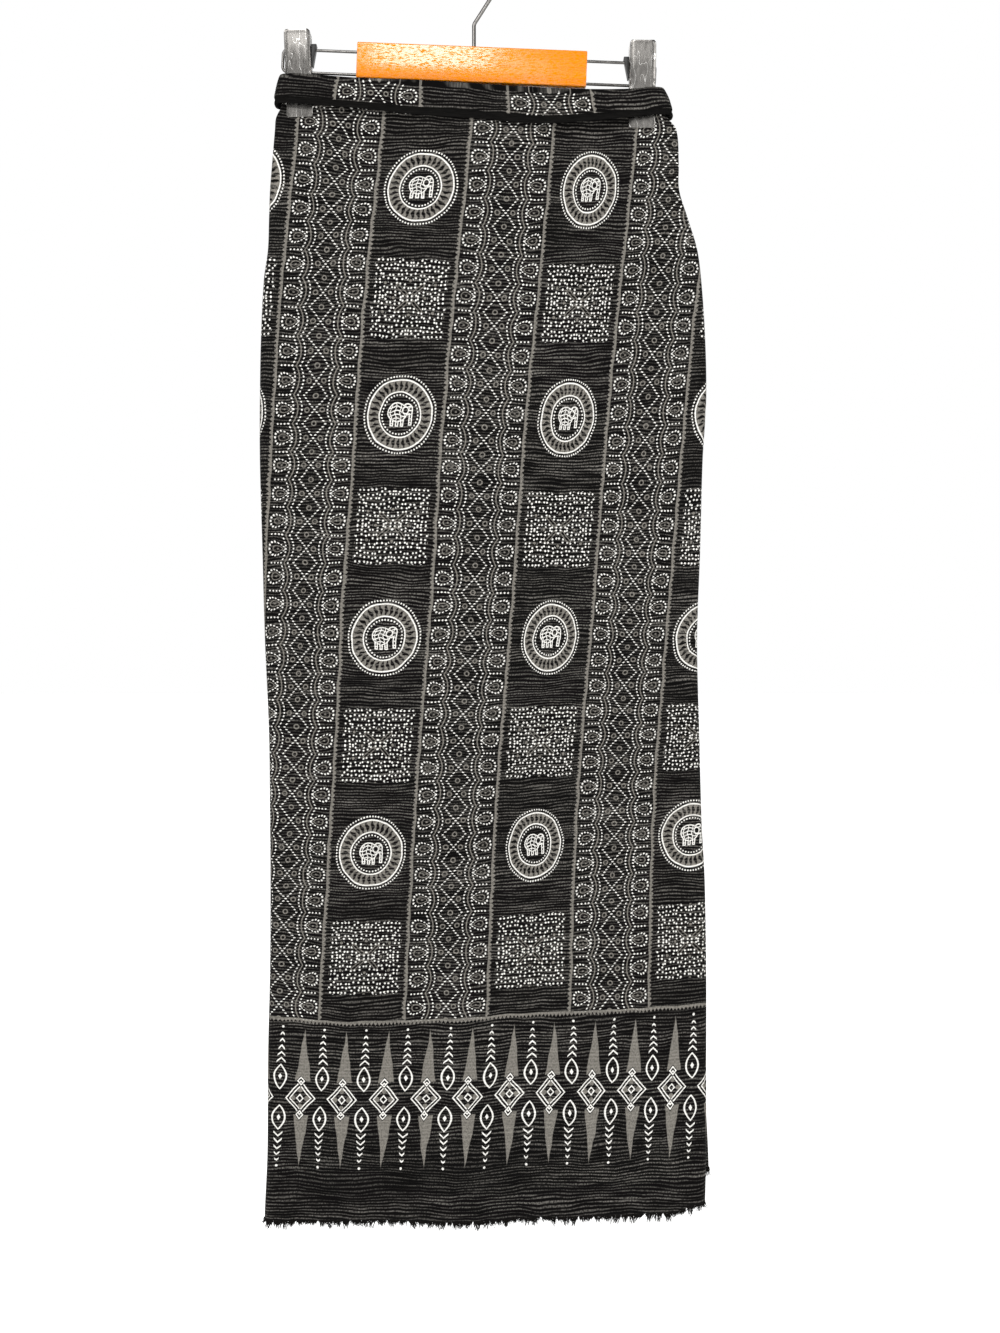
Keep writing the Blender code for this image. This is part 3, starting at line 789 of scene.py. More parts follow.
@dataclass(frozen=True)
class RibbedCotton:
    """Ribbed cotton, yarn-dyed near black and printed in white and grey discharge inks.

    Thick weft picks lie between thin ones, so the cloth has uneven ribs across it, and the ink
    sits on their crowns and misses the grooves.
    """

    name: str = "ribbed_printed_cotton"
    drawing: WrapPrint = WrapPrint()
    roughness: float = 0.92
    specular: float = 0.05
    sheen: float = 0.02
    sheen_roughness: float = 0.5
    rib_pitch: float = 2.8
    rib_relief: float = 0.00035
    relief_strength: float = 0.6
    # The print sways by this many millimetres, with this many changes to the millimetre
    sway: float = 1.2
    sway_scale: float = 0.05
    # Threads' noise: changes to the millimetre along and across the weft, and detail
    wandering: Triple = (0.014, 0.03, 1.0)
    unevenness: Triple = (0.03, 0.33, 1.0)
    bands: Triple = (0.004, 0.05, 2.0)
    flecks: Triple = (0.8, 0.55, 0.0)
    # Ribs: how far they wander in millimetres, then strength, depth of the groove, and floor
    wander: float = 10.0
    rib: Triple = (2.4, 2.0, 0.15)
    # Where bands and flecks start in their noise, and how fast they rise
    band_rise: Pair = (0.3, 2.2)
    fleck_rise: Pair = (0.28, 2.3)
    dull_band: float = 0.3
    # Painted light on the rib crowns, plain and more on flecks, and each ink's cover: plain, more on
    # crowns, more on flecks
    rib_light: Pair = (0.25, 0.9)
    grey_cover: Triple = (0.55, 0.2, 0.3)
    white_cover: Pair = (0.8, 0.3)
    # Relief of flecks and of white ink, as shares of a rib's
    fleck_relief: float = 0.4
    ink_relief: float = 0.15

    def make(self) -> bpy.types.Material:
        """Build the material.

        Returns:
            The material, which reads the print map.
        """
        material, tree, shader = new_material(self.name)
        uv = add_node(tree, "ShaderNodeUVMap", {"uv_map": PRINT_MAP})
        scale = {0: uv.outputs[0], "Scale": 1 / MM}
        place = add_node(tree, "ShaderNodeVectorMath", {"operation": "SCALE"}, scale)
        sway = {"Vector": place.outputs[0], "Scale": self.sway_scale, "Detail": 1.0}
        sway = add_node(tree, "ShaderNodeTexNoise", {"noise_dimensions": "2D"}, sway)
        parts = add_node(tree, "ShaderNodeSeparateXYZ", None, {0: place.outputs[0]})
        shifts = add_node(tree, "ShaderNodeSeparateColor", None, {0: sway.outputs["Color"]})
        u, v = (
            Field(shifts.outputs[i]).work("MULTIPLY_ADD", 2 * self.sway, parts.outputs[i]) - self.sway
            for i in (0, 1)
        )
        crown = self.ribs(u, v)
        start, rise = self.band_rise
        band = (self.streaks(u, v, self.bands) - start).work("MULTIPLY", rise, clamp=True)
        lit = band.work("MULTIPLY_ADD", 1 - self.dull_band, self.dull_band)
        start, rise = self.fleck_rise
        fleck = (self.streaks(u, v, self.flecks) - start).work("MULTIPLY", rise, clamp=True)
        ink = self.drawing.draw(u, v)
        # Painted light and shade: rib crowns paler than the dark grooves, in uneven bands and more on
        # flecks
        painted_rib_light = crown * lit * (fleck * self.rib_light[1] + self.rib_light[0])
        ground = blend(painted_rib_light, Shade.GROUND.value, Shade.RIB.value)
        plain, on_crown, on_fleck = self.grey_cover
        cover = ink.grey * (crown * on_crown + plain + fleck * on_fleck)
        greyed = blend(cover, ground, Shade.GREY.value)
        plain, on_crown = self.white_cover
        shown = blend(ink.white * (crown * on_crown + plain), greyed, Shade.WHITE.value)
        relief = crown + fleck * self.fleck_relief + ink.white * self.ink_relief
        bump = {"Height": relief, "Strength": self.relief_strength, "Distance": self.rib_relief}
        look = {
            "Base Color": shown,
            "Roughness": self.roughness,
            "Specular IOR Level": self.specular,
            "Sheen Weight": self.sheen,
            "Sheen Roughness": self.sheen_roughness,
            "Normal": add_node(tree, "ShaderNodeBump", None, bump).outputs[0],
        }
        set_inputs(shader, look)
        return material

    def ribs(self, u: Field, v: Field) -> Field:
        """The ribs: thick picks at an even pitch that wander, some stronger than others.

        Args:
            u: millimetres along the panel.
            v: millimetres above the hem.

        Returns:
            1 on the crowns and 0 in the grooves.
        """
        wandered = self.streaks(u, v, self.wandering).work("MULTIPLY_ADD", self.wander, v)
        groove = abs(wandered.repeat(self.rib_pitch)) * (2 / self.rib_pitch)
        strength, depth, floor = self.rib
        uneven = self.streaks(u, v, self.unevenness)
        return (uneven * strength - groove * depth).work("SUBTRACT", floor, clamp=True)

    def streaks(self, u: Field, v: Field, threads: Place) -> Field:
        """Uneven threads: noise drawn out along the weft.

        Args:
            u: millimetres along the panel.
            v: millimetres above the hem.
            threads: changes to the millimetre along and across the weft, and detail.

        Returns:
            The noise, about 0.5.
        """
        along, up, detail = threads
        tree = u.socket.id_data
        place = add_node(tree, "ShaderNodeCombineXYZ", None, {0: u * along, 1: v * up})
        inputs = {"Vector": place.outputs[0], "Scale": 1.0, "Detail": detail}
        settings = {"noise_dimensions": "2D"}
        return Field(add_node(tree, "ShaderNodeTexNoise", settings, inputs).outputs[0])


@dataclass(frozen=True)
class Finish:
    """A hard or plain surface: its base look, and noise that varies colour, gloss and relief."""

    name: str
    colour: str
    shade: str
    roughness: float
    rough_spread: float = 0.0
    metallic: float = 0.0
    coat: float = 0.0
    coat_roughness: float = 0.2
    specular: float = 0.5
    grain_mm: Place = (1.0, 1.0, 1.0)
    relief_mm: float = 0.02
    relief_grain_mm: Place = (0.8, 0.8, 0.8)
    relief_strength: float = 0.5
    # Gloss that comes and goes: its grain, and where in the noise it starts and how softly
    dull_mm: Place | None = None
    dull_edge: Pair = (0.45, 0.16)
    # Bare scratches: colour, grain, half width in the noise and softness
    scratch: str = ""
    scratch_grain_mm: Place = (7.0, 7.0, 24.0)
    scratch_line: Pair = (0.003, 0.005)

    def make(self) -> bpy.types.Material:
        """Build the material, on Object coordinates.

        Returns:
            The material.
        """
        material, tree, shader = new_material(self.name)
        grain = Field(self.noise(tree, self.grain_mm, 3.0))
        colour = blend(grain, self.shade, self.colour)
        if self.scratch:
            away = abs(Field(self.noise(tree, self.scratch_grain_mm, 1.0)) - 0.5)
            colour = blend(away.under(*self.scratch_line), colour, self.scratch)
        relief = self.noise(tree, self.relief_grain_mm, 2.0)
        bump = {"Height": relief, "Strength": self.relief_strength, "Distance": self.relief_mm * MM}
        look = {
            "Base Color": colour,
            "Metallic": self.metallic,
            "Roughness": grain.work("MULTIPLY_ADD", self.rough_spread, self.roughness),
            "Coat Weight": self.coat,
            "Coat Roughness": self.coat_roughness,
            "Specular IOR Level": self.specular,
            "Normal": add_node(tree, "ShaderNodeBump", None, bump).outputs[0],
        }
        if self.dull_mm:
            shine = Field(self.noise(tree, self.dull_mm, 1.0)).over(*self.dull_edge)
            look |= {"Coat Weight": shine * self.coat, "Specular IOR Level": shine * self.specular}
        set_inputs(shader, look)
        return material

    def noise(self, tree: bpy.types.NodeTree, grain: Place, detail: float) -> bpy.types.NodeSocket:
        """Noise with a grain of a real size along each axis.

        Args:
            tree: the material's nodes.
            grain: millimetres from change to change along x, y and z.
            detail: how much finer change is laid on top.

        Returns:
            The noise's socket.
        """
        place = add_node(tree, "ShaderNodeTexCoord")
        scale = tuple(1 / (size * MM) for size in grain)
        inputs = {"Vector": place.outputs["Object"], "Scale": scale}
        mapping = add_node(tree, "ShaderNodeMapping", None, inputs)
        inputs = {"Vector": mapping.outputs[0], "Scale": 1.0, "Detail": detail}
        return add_node(tree, "ShaderNodeTexNoise", None, inputs).outputs[0]


# Varnished softwood: sprayed orange lacquer with a fine orange-peel skin over faint long grain.
WOOD = Finish(
    "lacquered_wood", "ec8c00", "da7400", 0.22, 0.05, coat=1.0, coat_roughness=0.13, specular=0.6,
    grain_mm=(70.0, 4.0, 3.0), relief_mm=0.07, relief_grain_mm=(2.4, 2.4, 1.3), dull_mm=(3.8, 2.0, 0.8),
)
# Drawn steel wire, nickel plated: bright, with faint draw lines.
WIRE_STEEL = Finish(
    "nickel_plated_wire", "7d7b78", "454341", 0.14, 0.1, metallic=1.0,
    grain_mm=(6.0, 1.0, 6.0), relief_mm=0.01,
)
# Pressed steel plate, nickel plated and rubbed by use: greyer, with fine scuffs.
PLATE_STEEL = Finish(
    "nickel_plated_plate", "96938f", "53514e", 0.2, 0.12, metallic=1.0,
    grain_mm=(2.6, 2.6, 8.0), relief_mm=0.012, relief_grain_mm=(3.0, 3.0, 9.0), scratch="f4f2ee",
)
# Moulded black nylon: a soft, slightly uneven sheen.
NYLON = Finish("moulded_nylon", "171615", "0c0c0b", 0.45, 0.1, relief_mm=0.01)
# The cotton's unprinted wrong side where the strip rolls under, near black with the same ribs; painted
# shade on the roll's lit face.
WRONG_SIDE_AND_SHADE = Finish(
    "cotton_wrong_side_painted_shade", "161514", "030303", 0.95, specular=0.04,
    grain_mm=(9.0, 9.0, 1.4), relief_mm=0.2, relief_grain_mm=(3.0, 3.0, 1.4),
)
# Cut cotton yarn: matt, with a few fibres that kept less dye.
YARN = Finish(
    "frayed_cotton_yarn", "22201e", "030303", 0.95, specular=0.04,
    grain_mm=(0.6, 0.6, 2.5), relief_mm=0.03, relief_grain_mm=(0.3, 0.3, 0.6),
)


@dataclass(frozen=True)
class HangingForm:
    """The form in which the cloth hangs: the same sections and folds as its solids have.

    left and right are the outline from the front, fold half the depth of the side folds, front
    and back how far each face stands out past them, and held what stays flat beside each fold.
    """

    wall: float = 0.0014
    most_step: float = 0.0024
    join_back: float = 0.012
    lens_power: float = 1.5
    # Where creases fade: this near a fold, and from the clips' tips down over a length
    fold_clear: float = 0.012
    clip_drop: float = 0.160
    clip_clear: float = 0.030
    # A slight unevenness: its height, then its turns along x and drop and how they wander
    uneven: float = 0.0004
    uneven_across: Triple = (95.0, 3.0, 9.0)
    uneven_down: Pair = (21.0, 14.0)
    # How far a crease bows, its bow's turns, and the shares of its length over which it fades
    crease_bow: Triple = (0.004, 4.0, 60.0)
    crease_ends: Pair = (0.30, 0.45)
    waist: float = 0.1170
    hem: float = 1.1085
    sections: SmoothTable = SmoothTable(
        "drop left right fold front back left_held right_held",
        (
            (0.112, -0.1600, 0.1520, 0.0017, 0.0086, 0.0072, 0.024, 0.024),
            (0.130, -0.1655, 0.1600, 0.0017, 0.0088, 0.0074, 0.030, 0.032),
            (0.142, -0.1687, 0.1642, 0.0017, 0.0090, 0.0076, 0.033, 0.035),
            (0.150, -0.1726, 0.1680, 0.0017, 0.0092, 0.0077, 0.035, 0.038),
            (0.160, -0.1735, 0.1762, 0.0018, 0.0094, 0.0078, 0.032, 0.042),
            (0.190, -0.1760, 0.1784, 0.0026, 0.0098, 0.0082, 0.024, 0.030),
            (0.213, -0.1778, 0.1787, 0.0032, 0.0101, 0.0085, 0.018, 0.020),
            (0.239, -0.1787, 0.1866, 0.0038, 0.0104, 0.0087, 0.012, 0.016),
            (0.265, -0.1796, 0.1944, 0.0043, 0.0106, 0.0089, 0.008, 0.014),
            (0.291, -0.1831, 0.1979, 0.0048, 0.0107, 0.0090, 0.006, 0.010),
            (0.343, -0.1857, 0.2014, 0.0055, 0.0108, 0.0091, 0.004, 0.006),
            (0.396, -0.1866, 0.2023, 0.0060, 0.0109, 0.0092, 0.002, 0.004),
            (0.448, -0.1866, 0.1992, 0.0063, 0.0109, 0.0092, 0.0, 0.0),
            (0.527, -0.1844, 0.1970, 0.0066, 0.0109, 0.0093, 0.0, 0.0),
            (0.605, -0.1822, 0.1944, 0.0068, 0.0110, 0.0094, 0.0, 0.0),
            (0.684, -0.1787, 0.1962, 0.0070, 0.0112, 0.0095, 0.0, 0.0),
            (0.762, -0.1778, 0.1983, 0.0072, 0.0114, 0.0096, 0.0, 0.0),
            (0.814, -0.1774, 0.2010, 0.0074, 0.0116, 0.0097, 0.0, 0.0),
            (0.893, -0.1778, 0.2023, 0.0076, 0.0118, 0.0098, 0.0, 0.0),
            (0.971, -0.1796, 0.2023, 0.0078, 0.0121, 0.0099, 0.0, 0.0),
            (1.050, -0.1800, 0.2023, 0.0080, 0.0124, 0.0100, 0.0, 0.0),
            (1.118, -0.1826, 0.2010, 0.0082, 0.0127, 0.0102, 0.0, 0.0),
        ),
    )
    # The largest soft folds: top_x, hem_x, half_width, top_lift, hem_lift
    front_folds: Rows = (
        (-0.100, -0.128, 0.030, 0.0008, 0.0046),
        (-0.060, -0.078, 0.024, -0.0010, -0.0032),
        (-0.020, -0.016, 0.036, 0.0012, 0.0040),
        (0.040, 0.052, 0.028, -0.0012, -0.0038),
        (0.085, 0.106, 0.030, 0.0006, 0.0020),
        (0.120, 0.150, 0.022, -0.0004, -0.0020),
    )
    back_folds: Rows = (
        (-0.105, -0.120, 0.032, 0.0008, 0.0040),
        (-0.050, -0.058, 0.026, -0.0010, -0.0030),
        (0.010, 0.020, 0.038, 0.0010, 0.0042),
        (0.070, 0.086, 0.026, -0.0008, -0.0034),
        (0.110, 0.140, 0.026, 0.0004, 0.0024),
    )
    # Soft creases: x and drop of each end, half_width, lift
    front_creases: Rows = (
        (-0.150, 0.165, -0.120, 0.330, 0.0070, -0.0016),
        (-0.138, 0.160, -0.085, 0.300, 0.0060, 0.0012),
        (0.140, 0.175, 0.168, 0.330, 0.0065, -0.0018),
        (0.128, 0.172, 0.090, 0.290, 0.0070, 0.0012),
        (-0.158, 0.330, -0.150, 0.700, 0.0090, 0.0012),
        (0.172, 0.330, 0.165, 0.620, 0.0090, -0.0014),
        (0.170, 0.195, 0.190, 0.420, 0.0035, -0.0022),
        (-0.168, 0.215, -0.176, 0.460, 0.0040, -0.0018),
        (-0.040, 0.420, -0.052, 0.820, 0.0120, 0.0010),
        (0.060, 0.560, 0.070, 0.980, 0.0110, -0.0012),
        (0.135, 0.640, 0.150, 1.060, 0.0100, 0.0014),
        (-0.115, 0.700, -0.125, 1.090, 0.0100, -0.0012),
        (0.000, 0.860, 0.012, 1.110, 0.0090, 0.0012),
    )
    back_creases: Rows = (
        (0.138, 0.175, 0.100, 0.330, 0.0070, 0.0010),
        (-0.145, 0.165, -0.110, 0.340, 0.0070, -0.0010),
        (-0.020, 0.330, -0.030, 0.760, 0.0120, 0.0010),
        (0.060, 0.480, 0.075, 0.960, 0.0110, -0.0010),
        (-0.110, 0.620, -0.118, 1.060, 0.0100, 0.0010),
        (0.120, 0.700, 0.140, 1.040, 0.0100, 0.0010),
    )

    def at(self, drop: Array, column: str) -> Array:
        """One measure of the section at a drop."""
        return self.sections.read(drop, column)

    def layer_step(self, drop: Array) -> Array:
        """How far the inner layer of the back lies inside the outer one."""
        return np.minimum(self.most_step, self.at(drop, "fold"))

    def right_radius(self, drop: Array) -> Array:
        """Radius of the right fold."""
        return self.at(drop, "fold") - self.layer_step(drop) / 2

    def left_turn(self, drop: Array) -> Array:
        """x where the left fold meets the faces."""
        return self.at(drop, "left") + self.wall / 2 + self.at(drop, "fold")

    def right_turn(self, drop: Array) -> Array:
        """x where the right fold meets the faces."""
        return self.at(drop, "right") - self.wall / 2 - self.right_radius(drop)

    def swell(self, x: Array, drop: Array, side: str) -> Array:
        """How far a face stands out past the folds: a lens, its folds and its creases.

        Args:
            x: places across.
            drop: their drops.
            side: front or back.

        Returns:
            The distance outward.
        """
        folds = self.front_folds if side == "front" else self.back_folds
        creases = self.front_creases if side == "front" else self.back_creases
        low = self.left_turn(drop) + self.at(drop, "left_held")
        high = self.right_turn(drop) - self.at(drop, "right_held")
        share = np.clip((x - low) / (high - low), 0.0, 1.0)
        down = (drop - self.waist) / (self.hem - self.waist)
        lift = self.at(drop, side)
        for top_x, hem_x, half_width, top_lift, hem_lift in folds:
            off = (x - top_x - (hem_x - top_x) * down) / half_width
            lift = lift + (top_lift + (hem_lift - top_lift) * down) * np.exp(-(off**2))
        bowed = np.sin(np.pi * share) ** self.lens_power * lift
        return bowed + self.crease(x, drop, creases) * self.free(x, drop)

    def free(self, x: Array, drop: Array) -> Array:
        """How free the cloth is to crease: not at all at the folds and under the clips."""
        low, high = self.left_turn(drop), self.right_turn(drop)
        beside = np.minimum(x - low, high - x) / self.fold_clear
        return ease(beside) * ease((drop - self.clip_drop) / self.clip_clear)

    def crease(self, x: Array, drop: Array, creases: Rows) -> Array:
        """Lift of the listed creases and of a slight unevenness.

        Args:
            x: places across.
            drop: their drops.
            creases: the table of creases.

        Returns:
            The lift.
        """
        turns, wander, wander_turns = self.uneven_across
        down, slant = self.uneven_down
        lift = self.uneven * np.sin(x * turns + wander * np.sin(drop * wander_turns))
        lift = lift * np.sin(drop * down + x * slant)
        bow, bow_turns, bow_start = self.crease_bow
        for start_x, start_drop, end_x, end_drop, half_width, height in creases:
            run = np.array([end_x - start_x, end_drop - start_drop])
            length = math.hypot(*run)
            along = ((x - start_x) * run[0] + (drop - start_drop) * run[1]) / length**2
            away = ((x - start_x) * run[1] - (drop - start_drop) * run[0]) / length
            bend = bow * np.sin(along * bow_turns + start_x * bow_start)
            ends = ease(along / self.crease_ends[0]) * ease((1.0 - along) / self.crease_ends[1])
            lift = lift + height * ends * np.exp(-(((away - bend) / half_width) ** 2))
        return lift

    def front_y(self, x: Array, drop: Array) -> Array:
        """Middle of the front wall."""
        return -self.at(drop, "fold") - self.swell(x, drop, "front")

    def flap_y(self, x: Array, drop: Array) -> Array:
        """Middle of the outer wall of the back."""
        return self.at(drop, "fold") + self.swell(x, drop, "back")


# Drops of the cloth's upper edge and of each hem, by share of the way across
TOP_EDGE = SmoothTable(
    "across drop",
    (
        (0, 0.1170), (0.15, 0.1212), (0.35, 0.1245), (0.50, 0.1280),
        (0.70, 0.1312), (0.85, 0.1320), (1, 0.1300),
    ),
)
FRONT_HEM = SmoothTable(
    "across drop",
    (
        (0, 1.1085), (0.15, 1.1065), (0.30, 1.1055), (0.50, 1.1045),
        (0.65, 1.1025), (0.85, 1.1015), (0.96, 1.1000), (1, 1.0940),
    ),
)
FLAP_HEM = SmoothTable("across drop", ((0, 1.1085), (0.5, 1.0900), (1, 1.0675)))
UNDER_HEM = SmoothTable("across drop", ((0, 1.0700), (0.5, 1.0820), (1, 1.0940)))
# Where the free edge of each layer of the back runs
FLAP_EDGE = SmoothTable(
    "drop x", ((0.120, 0.1360), (0.450, 0.1700), (0.800, 0.1925), (1.000, 0.2023), (1.080, 0.2056))
)
UNDER_EDGE = SmoothTable("drop x", ((0.120, -0.1000), (1.080, -0.0400)))
# The share of the upper edge that each layer of the back takes, from its left to its right
FLAP_TOP = (0.03, 0.89)
UNDER_TOP = (0.18, 0.97)

# Edges between the print's columns on the front: u, x, drop
COLUMN_MARKS = (
    (-35.5, -0.153, 0.156), (-35.5, -0.168, 0.312), (-35.5, -0.182, 0.571),
    (35.5, -0.079, 0.156), (35.5, -0.095, 0.312), (35.5, -0.114, 0.571), (35.5, -0.134, 0.925),
    (110.5, -0.002, 0.165), (110.5, -0.017, 0.312), (110.5, -0.036, 0.571), (110.5, -0.059, 0.925),
    (181.5, 0.068, 0.174), (181.5, 0.055, 0.312), (181.5, 0.033, 0.571), (181.5, 0.011, 0.925),
    (256.5, 0.141, 0.169), (256.5, 0.126, 0.312), (256.5, 0.104, 0.571), (256.5, 0.083, 0.925),
    (327.5, 0.189, 0.346), (327.5, 0.169, 0.571), (327.5, 0.151, 0.925), (365.0, 0.189, 0.774),
)
# Centres of its discs and squares, its border and its hem: v, x, drop
ROW_MARKS = (
    (900, -0.043, 0.214), (804, -0.053, 0.310), (708, -0.063, 0.411), (612, -0.070, 0.506),
    (516, -0.074, 0.604), (420, -0.081, 0.696), (324, -0.085, 0.790), (228, -0.091, 0.879),
    (900, 0.099, 0.215), (804, 0.092, 0.314), (708, 0.084, 0.414), (516, 0.064, 0.603),
    (324, 0.057, 0.782), (708, 0.200, 0.407), (516, 0.195, 0.603), (324, 0.189, 0.774),
    (172, -0.176, 0.932), (172, -0.115, 0.936), (172, -0.029, 0.932), (172, 0.057, 0.927),
    (172, 0.152, 0.924), (172, 0.200, 0.921), (105.5, -0.152, 1.002), (105.5, -0.006, 0.998),
    (105.5, 0.175, 0.993), (0, -0.150, 1.108), (0, 0.023, 1.106), (0, 0.187, 1.102),
    (927.5, -0.147, 0.178), (903.5, -0.148, 0.204), (855.5, -0.153, 0.254), (807.5, -0.157, 0.303),
    (759.5, -0.162, 0.354), (711.5, -0.163, 0.405), (951.5, -0.089, 0.160), (903.5, -0.094, 0.210),
    (855.5, -0.098, 0.254),
)


class Stretch(Enum):
    """The three stretches of the wrap panel that show."""

    FRONT = "front"
    FLAP = "flap"
    UNDER = "under"


@dataclass
class ClothGrid:
    """Points of a sheet in rows down it, each with its place on the flat print."""

    points: Array
    prints: Array

    def object(self, name: str, wall: float) -> bpy.types.Object:
        """Make the sheet as one object.

        Args:
            name: the piece's name.
            wall: the cloth's thickness, half to each side, or 0 for a bare surface.

        Returns:
            The piece.
        """
        rows, columns = self.points.shape[:2]
        index = np.arange(rows * columns).reshape(rows, columns)
        corners = (index[:-1, :-1], index[1:, :-1], index[1:, 1:], index[:-1, 1:])
        faces = np.stack(corners, axis=-1).reshape(-1, 4)
        mesh = bpy.data.meshes.new(name)
        mesh.from_pydata(self.points.reshape(-1, 3).tolist(), [], faces.tolist())
        layer = mesh.uv_layers.new(name=PRINT_MAP)
        layer.data.foreach_set("uv", self.prints.reshape(-1, 2)[faces.ravel()].ravel())
        mesh.shade_smooth()
        piece = new_object(name, mesh)
        if wall:
            thicken(piece, wall)
        return piece

    def flat_size(self) -> Pair:
        """Width and length of the cut, along its longest row and column."""
        across = np.linalg.norm(np.diff(self.points, axis=1), axis=2).sum(axis=1).max()
        down = np.linalg.norm(np.diff(self.points, axis=0), axis=2).sum(axis=0).max()
        return round(float(across), 3), round(float(down), 3)

    def area(self) -> float:
        """Area of the cut."""
        side = self.points[:-1, 1:] - self.points[:-1, :-1]
        fall = self.points[1:, :-1] - self.points[:-1, :-1]
        return round(float(np.linalg.norm(np.cross(side, fall), axis=2).sum()), 3)


@dataclass
class WrapPanel:
    """The wrap panel: one length of cloth, wound once and a half, in the stretches that show."""

    form: HangingForm
    cotton: bpy.types.Material
    rows: int = 230
    row_power: float = 1.12
    front_steps: int = 96
    turn_steps: int = 9
    join_steps: int = 4
    flap_steps: int = 92
    under_steps: int = 60
    # The marks are read this far past the face; beyond it the print runs on evenly
    past_face: float = 0.004
    columns: PlaceFit = PlaceFit(COLUMN_MARKS)
    heights: PlaceFit = PlaceFit(ROW_MARKS)

    def build(self) -> dict[Stretch, ClothGrid]:
        """Build the three stretches as pieces of the model.

        Returns:
            The grid of each, for its hem.
        """
        grids = {}
        for stretch in Stretch:
            grid = self.grid(stretch)
            piece = grid.object(f"skirt_{stretch.value}", self.form.wall)
            add_to_model(piece, f"panel_{stretch.value}", "cloth", self.cotton)
            grids[stretch] = grid
            LOG.info("%s: cut %s, %.3f square metres", piece.name, grid.flat_size(), grid.area())
        return grids

    def declare(self, grids: dict[Stretch, ClothGrid]) -> None:
        """Work out each stretch's cut size and area; neither is used."""
        for stretch, grid in grids.items():
            grid.flat_size()
            grid.area()

    def grid(self, stretch: Stretch) -> ClothGrid:
        """Points and print of one stretch.

        Args:
            stretch: which stretch.

        Returns:
            Its grid.
        """
        if stretch is Stretch.FRONT:
            return self.front_grid()
        return self.back_grid(stretch)

    def drops(self, tops: Array, hems: Array) -> Array:
        """Drops of every row, from the upper edge to the hem."""
        down = (np.linspace(0, 1, self.rows + 1) ** self.row_power)[:, None]
        return tops[None, :] + (hems - tops)[None, :] * down

    def front_grid(self) -> ClothGrid:
        """The front, with both side folds and a little of the back beyond each."""
        form = self.form
        joins = np.linspace(0, 1, self.join_steps + 1)[:-1]
        turns = np.linspace(0, 1, self.turn_steps + 1)[:-1]
        face = np.linspace(0, 1, self.front_steps + 1)
        across = np.concatenate([joins * 0, turns * 0, face, turns * 0 + 1, joins * 0 + 1])
        drop = self.drops(TOP_EDGE.read(across, "drop"), FRONT_HEM.read(across, "drop"))
        left, right = form.left_turn(drop), form.right_turn(drop)
        fold, small = form.at(drop, "fold"), form.right_radius(drop)
        counts = (len(joins), len(turns), len(face), len(turns), len(joins))
        parts = [np.s_[:, end - count : end] for end, count in zip(np.cumsum(counts), counts)]
        left_join, left_fold, front, right_fold, right_join = parts
        x, y, along = (np.empty_like(drop) for _ in range(3))

        back = form.join_back * (1 - joins)
        x[left_join] = left[left_join] + back
        y[left_join] = form.flap_y(x[left_join], drop[left_join])
        along[left_join] = left[left_join] - np.pi * fold[left_join] - back
        turn = np.pi * (0.5 + turns)
        x[left_fold] = left[left_fold] + fold[left_fold] * np.cos(turn)
        y[left_fold] = fold[left_fold] * np.sin(turn)
        along[left_fold] = left[left_fold] - np.pi * fold[left_fold] * (1 - turns)
        x[front] = left[front] + (right - left)[front] * face
        y[front] = form.front_y(x[front], drop[front])
        along[front] = x[front]
        turned = turns + 1 / self.turn_steps
        turn = np.pi * (turned - 0.5)
        x[right_fold] = right[right_fold] + small[right_fold] * np.cos(turn)
        y[right_fold] = small[right_fold] - fold[right_fold] + small[right_fold] * np.sin(turn)
        along[right_fold] = right[right_fold] + np.pi * small[right_fold] * turned
        back = form.join_back * (joins + 1 / self.join_steps)
        x[right_join] = right[right_join] - back
        y[right_join] = form.flap_y(x[right_join], drop[right_join]) - form.layer_step(drop[right_join])
        along[right_join] = right[right_join] + np.pi * small[right_join] + back
        return ClothGrid(np.stack([x, y, -drop], axis=-1), self.print_at(along, drop))

    def back_grid(self, stretch: Stretch) -> ClothGrid:
        """The outer or the inner layer of the back, from its seam to its free edge.

        Args:
            stretch: the flap or the under layer.

        Returns:
            Its grid.
        """
        form = self.form
        outer = stretch is Stretch.FLAP
        share = np.linspace(0, 1, (self.flap_steps if outer else self.under_steps) + 1)
        first, last = FLAP_TOP if outer else UNDER_TOP
        hem = (FLAP_HEM if outer else UNDER_HEM).read(share, "drop")
        drop = self.drops(TOP_EDGE.read(first + (last - first) * share, "drop"), hem)
        if outer:
            start, end = form.left_turn(drop) + form.join_back, FLAP_EDGE.read(drop, "x")
        else:
            start, end = UNDER_EDGE.read(drop, "x"), form.right_turn(drop) - form.join_back
        x = start + (end - start) * share
        y = form.flap_y(x, drop)
        level = drop + (hem[0] - hem if outer else hem[-1] - hem)
        if outer:
            along = form.left_turn(drop) - np.pi * form.at(drop, "fold") - (x - form.left_turn(drop))
        else:
            y = y - form.layer_step(drop)
            right = form.right_turn(drop)
            along = right + np.pi * form.right_radius(drop) + (right - x)
        points = np.stack([x, y, -drop], axis=-1)
        if not outer:
            points = points[:, ::-1]
            along, level = along[:, ::-1], level[:, ::-1]
        return ClothGrid(points, self.print_at(along, level))

    def print_at(self, along: Array, drop: Array) -> Array:
        """Where the flat print lies on the cloth.

        Args:
            along: distance along the cloth from the middle of the front.
            drop: drops on the front, or level with them.

        Returns:
            u and v, in metres for the print map.
        """
        low = self.form.left_turn(drop) - self.past_face
        high = self.form.right_turn(drop) + self.past_face
        near = np.clip(along, low, high)
        u = self.columns.read(near, drop) + (along - near) / MM
        v = self.heights.read(near, drop)
        return np.stack([u, v], axis=-1) * MM


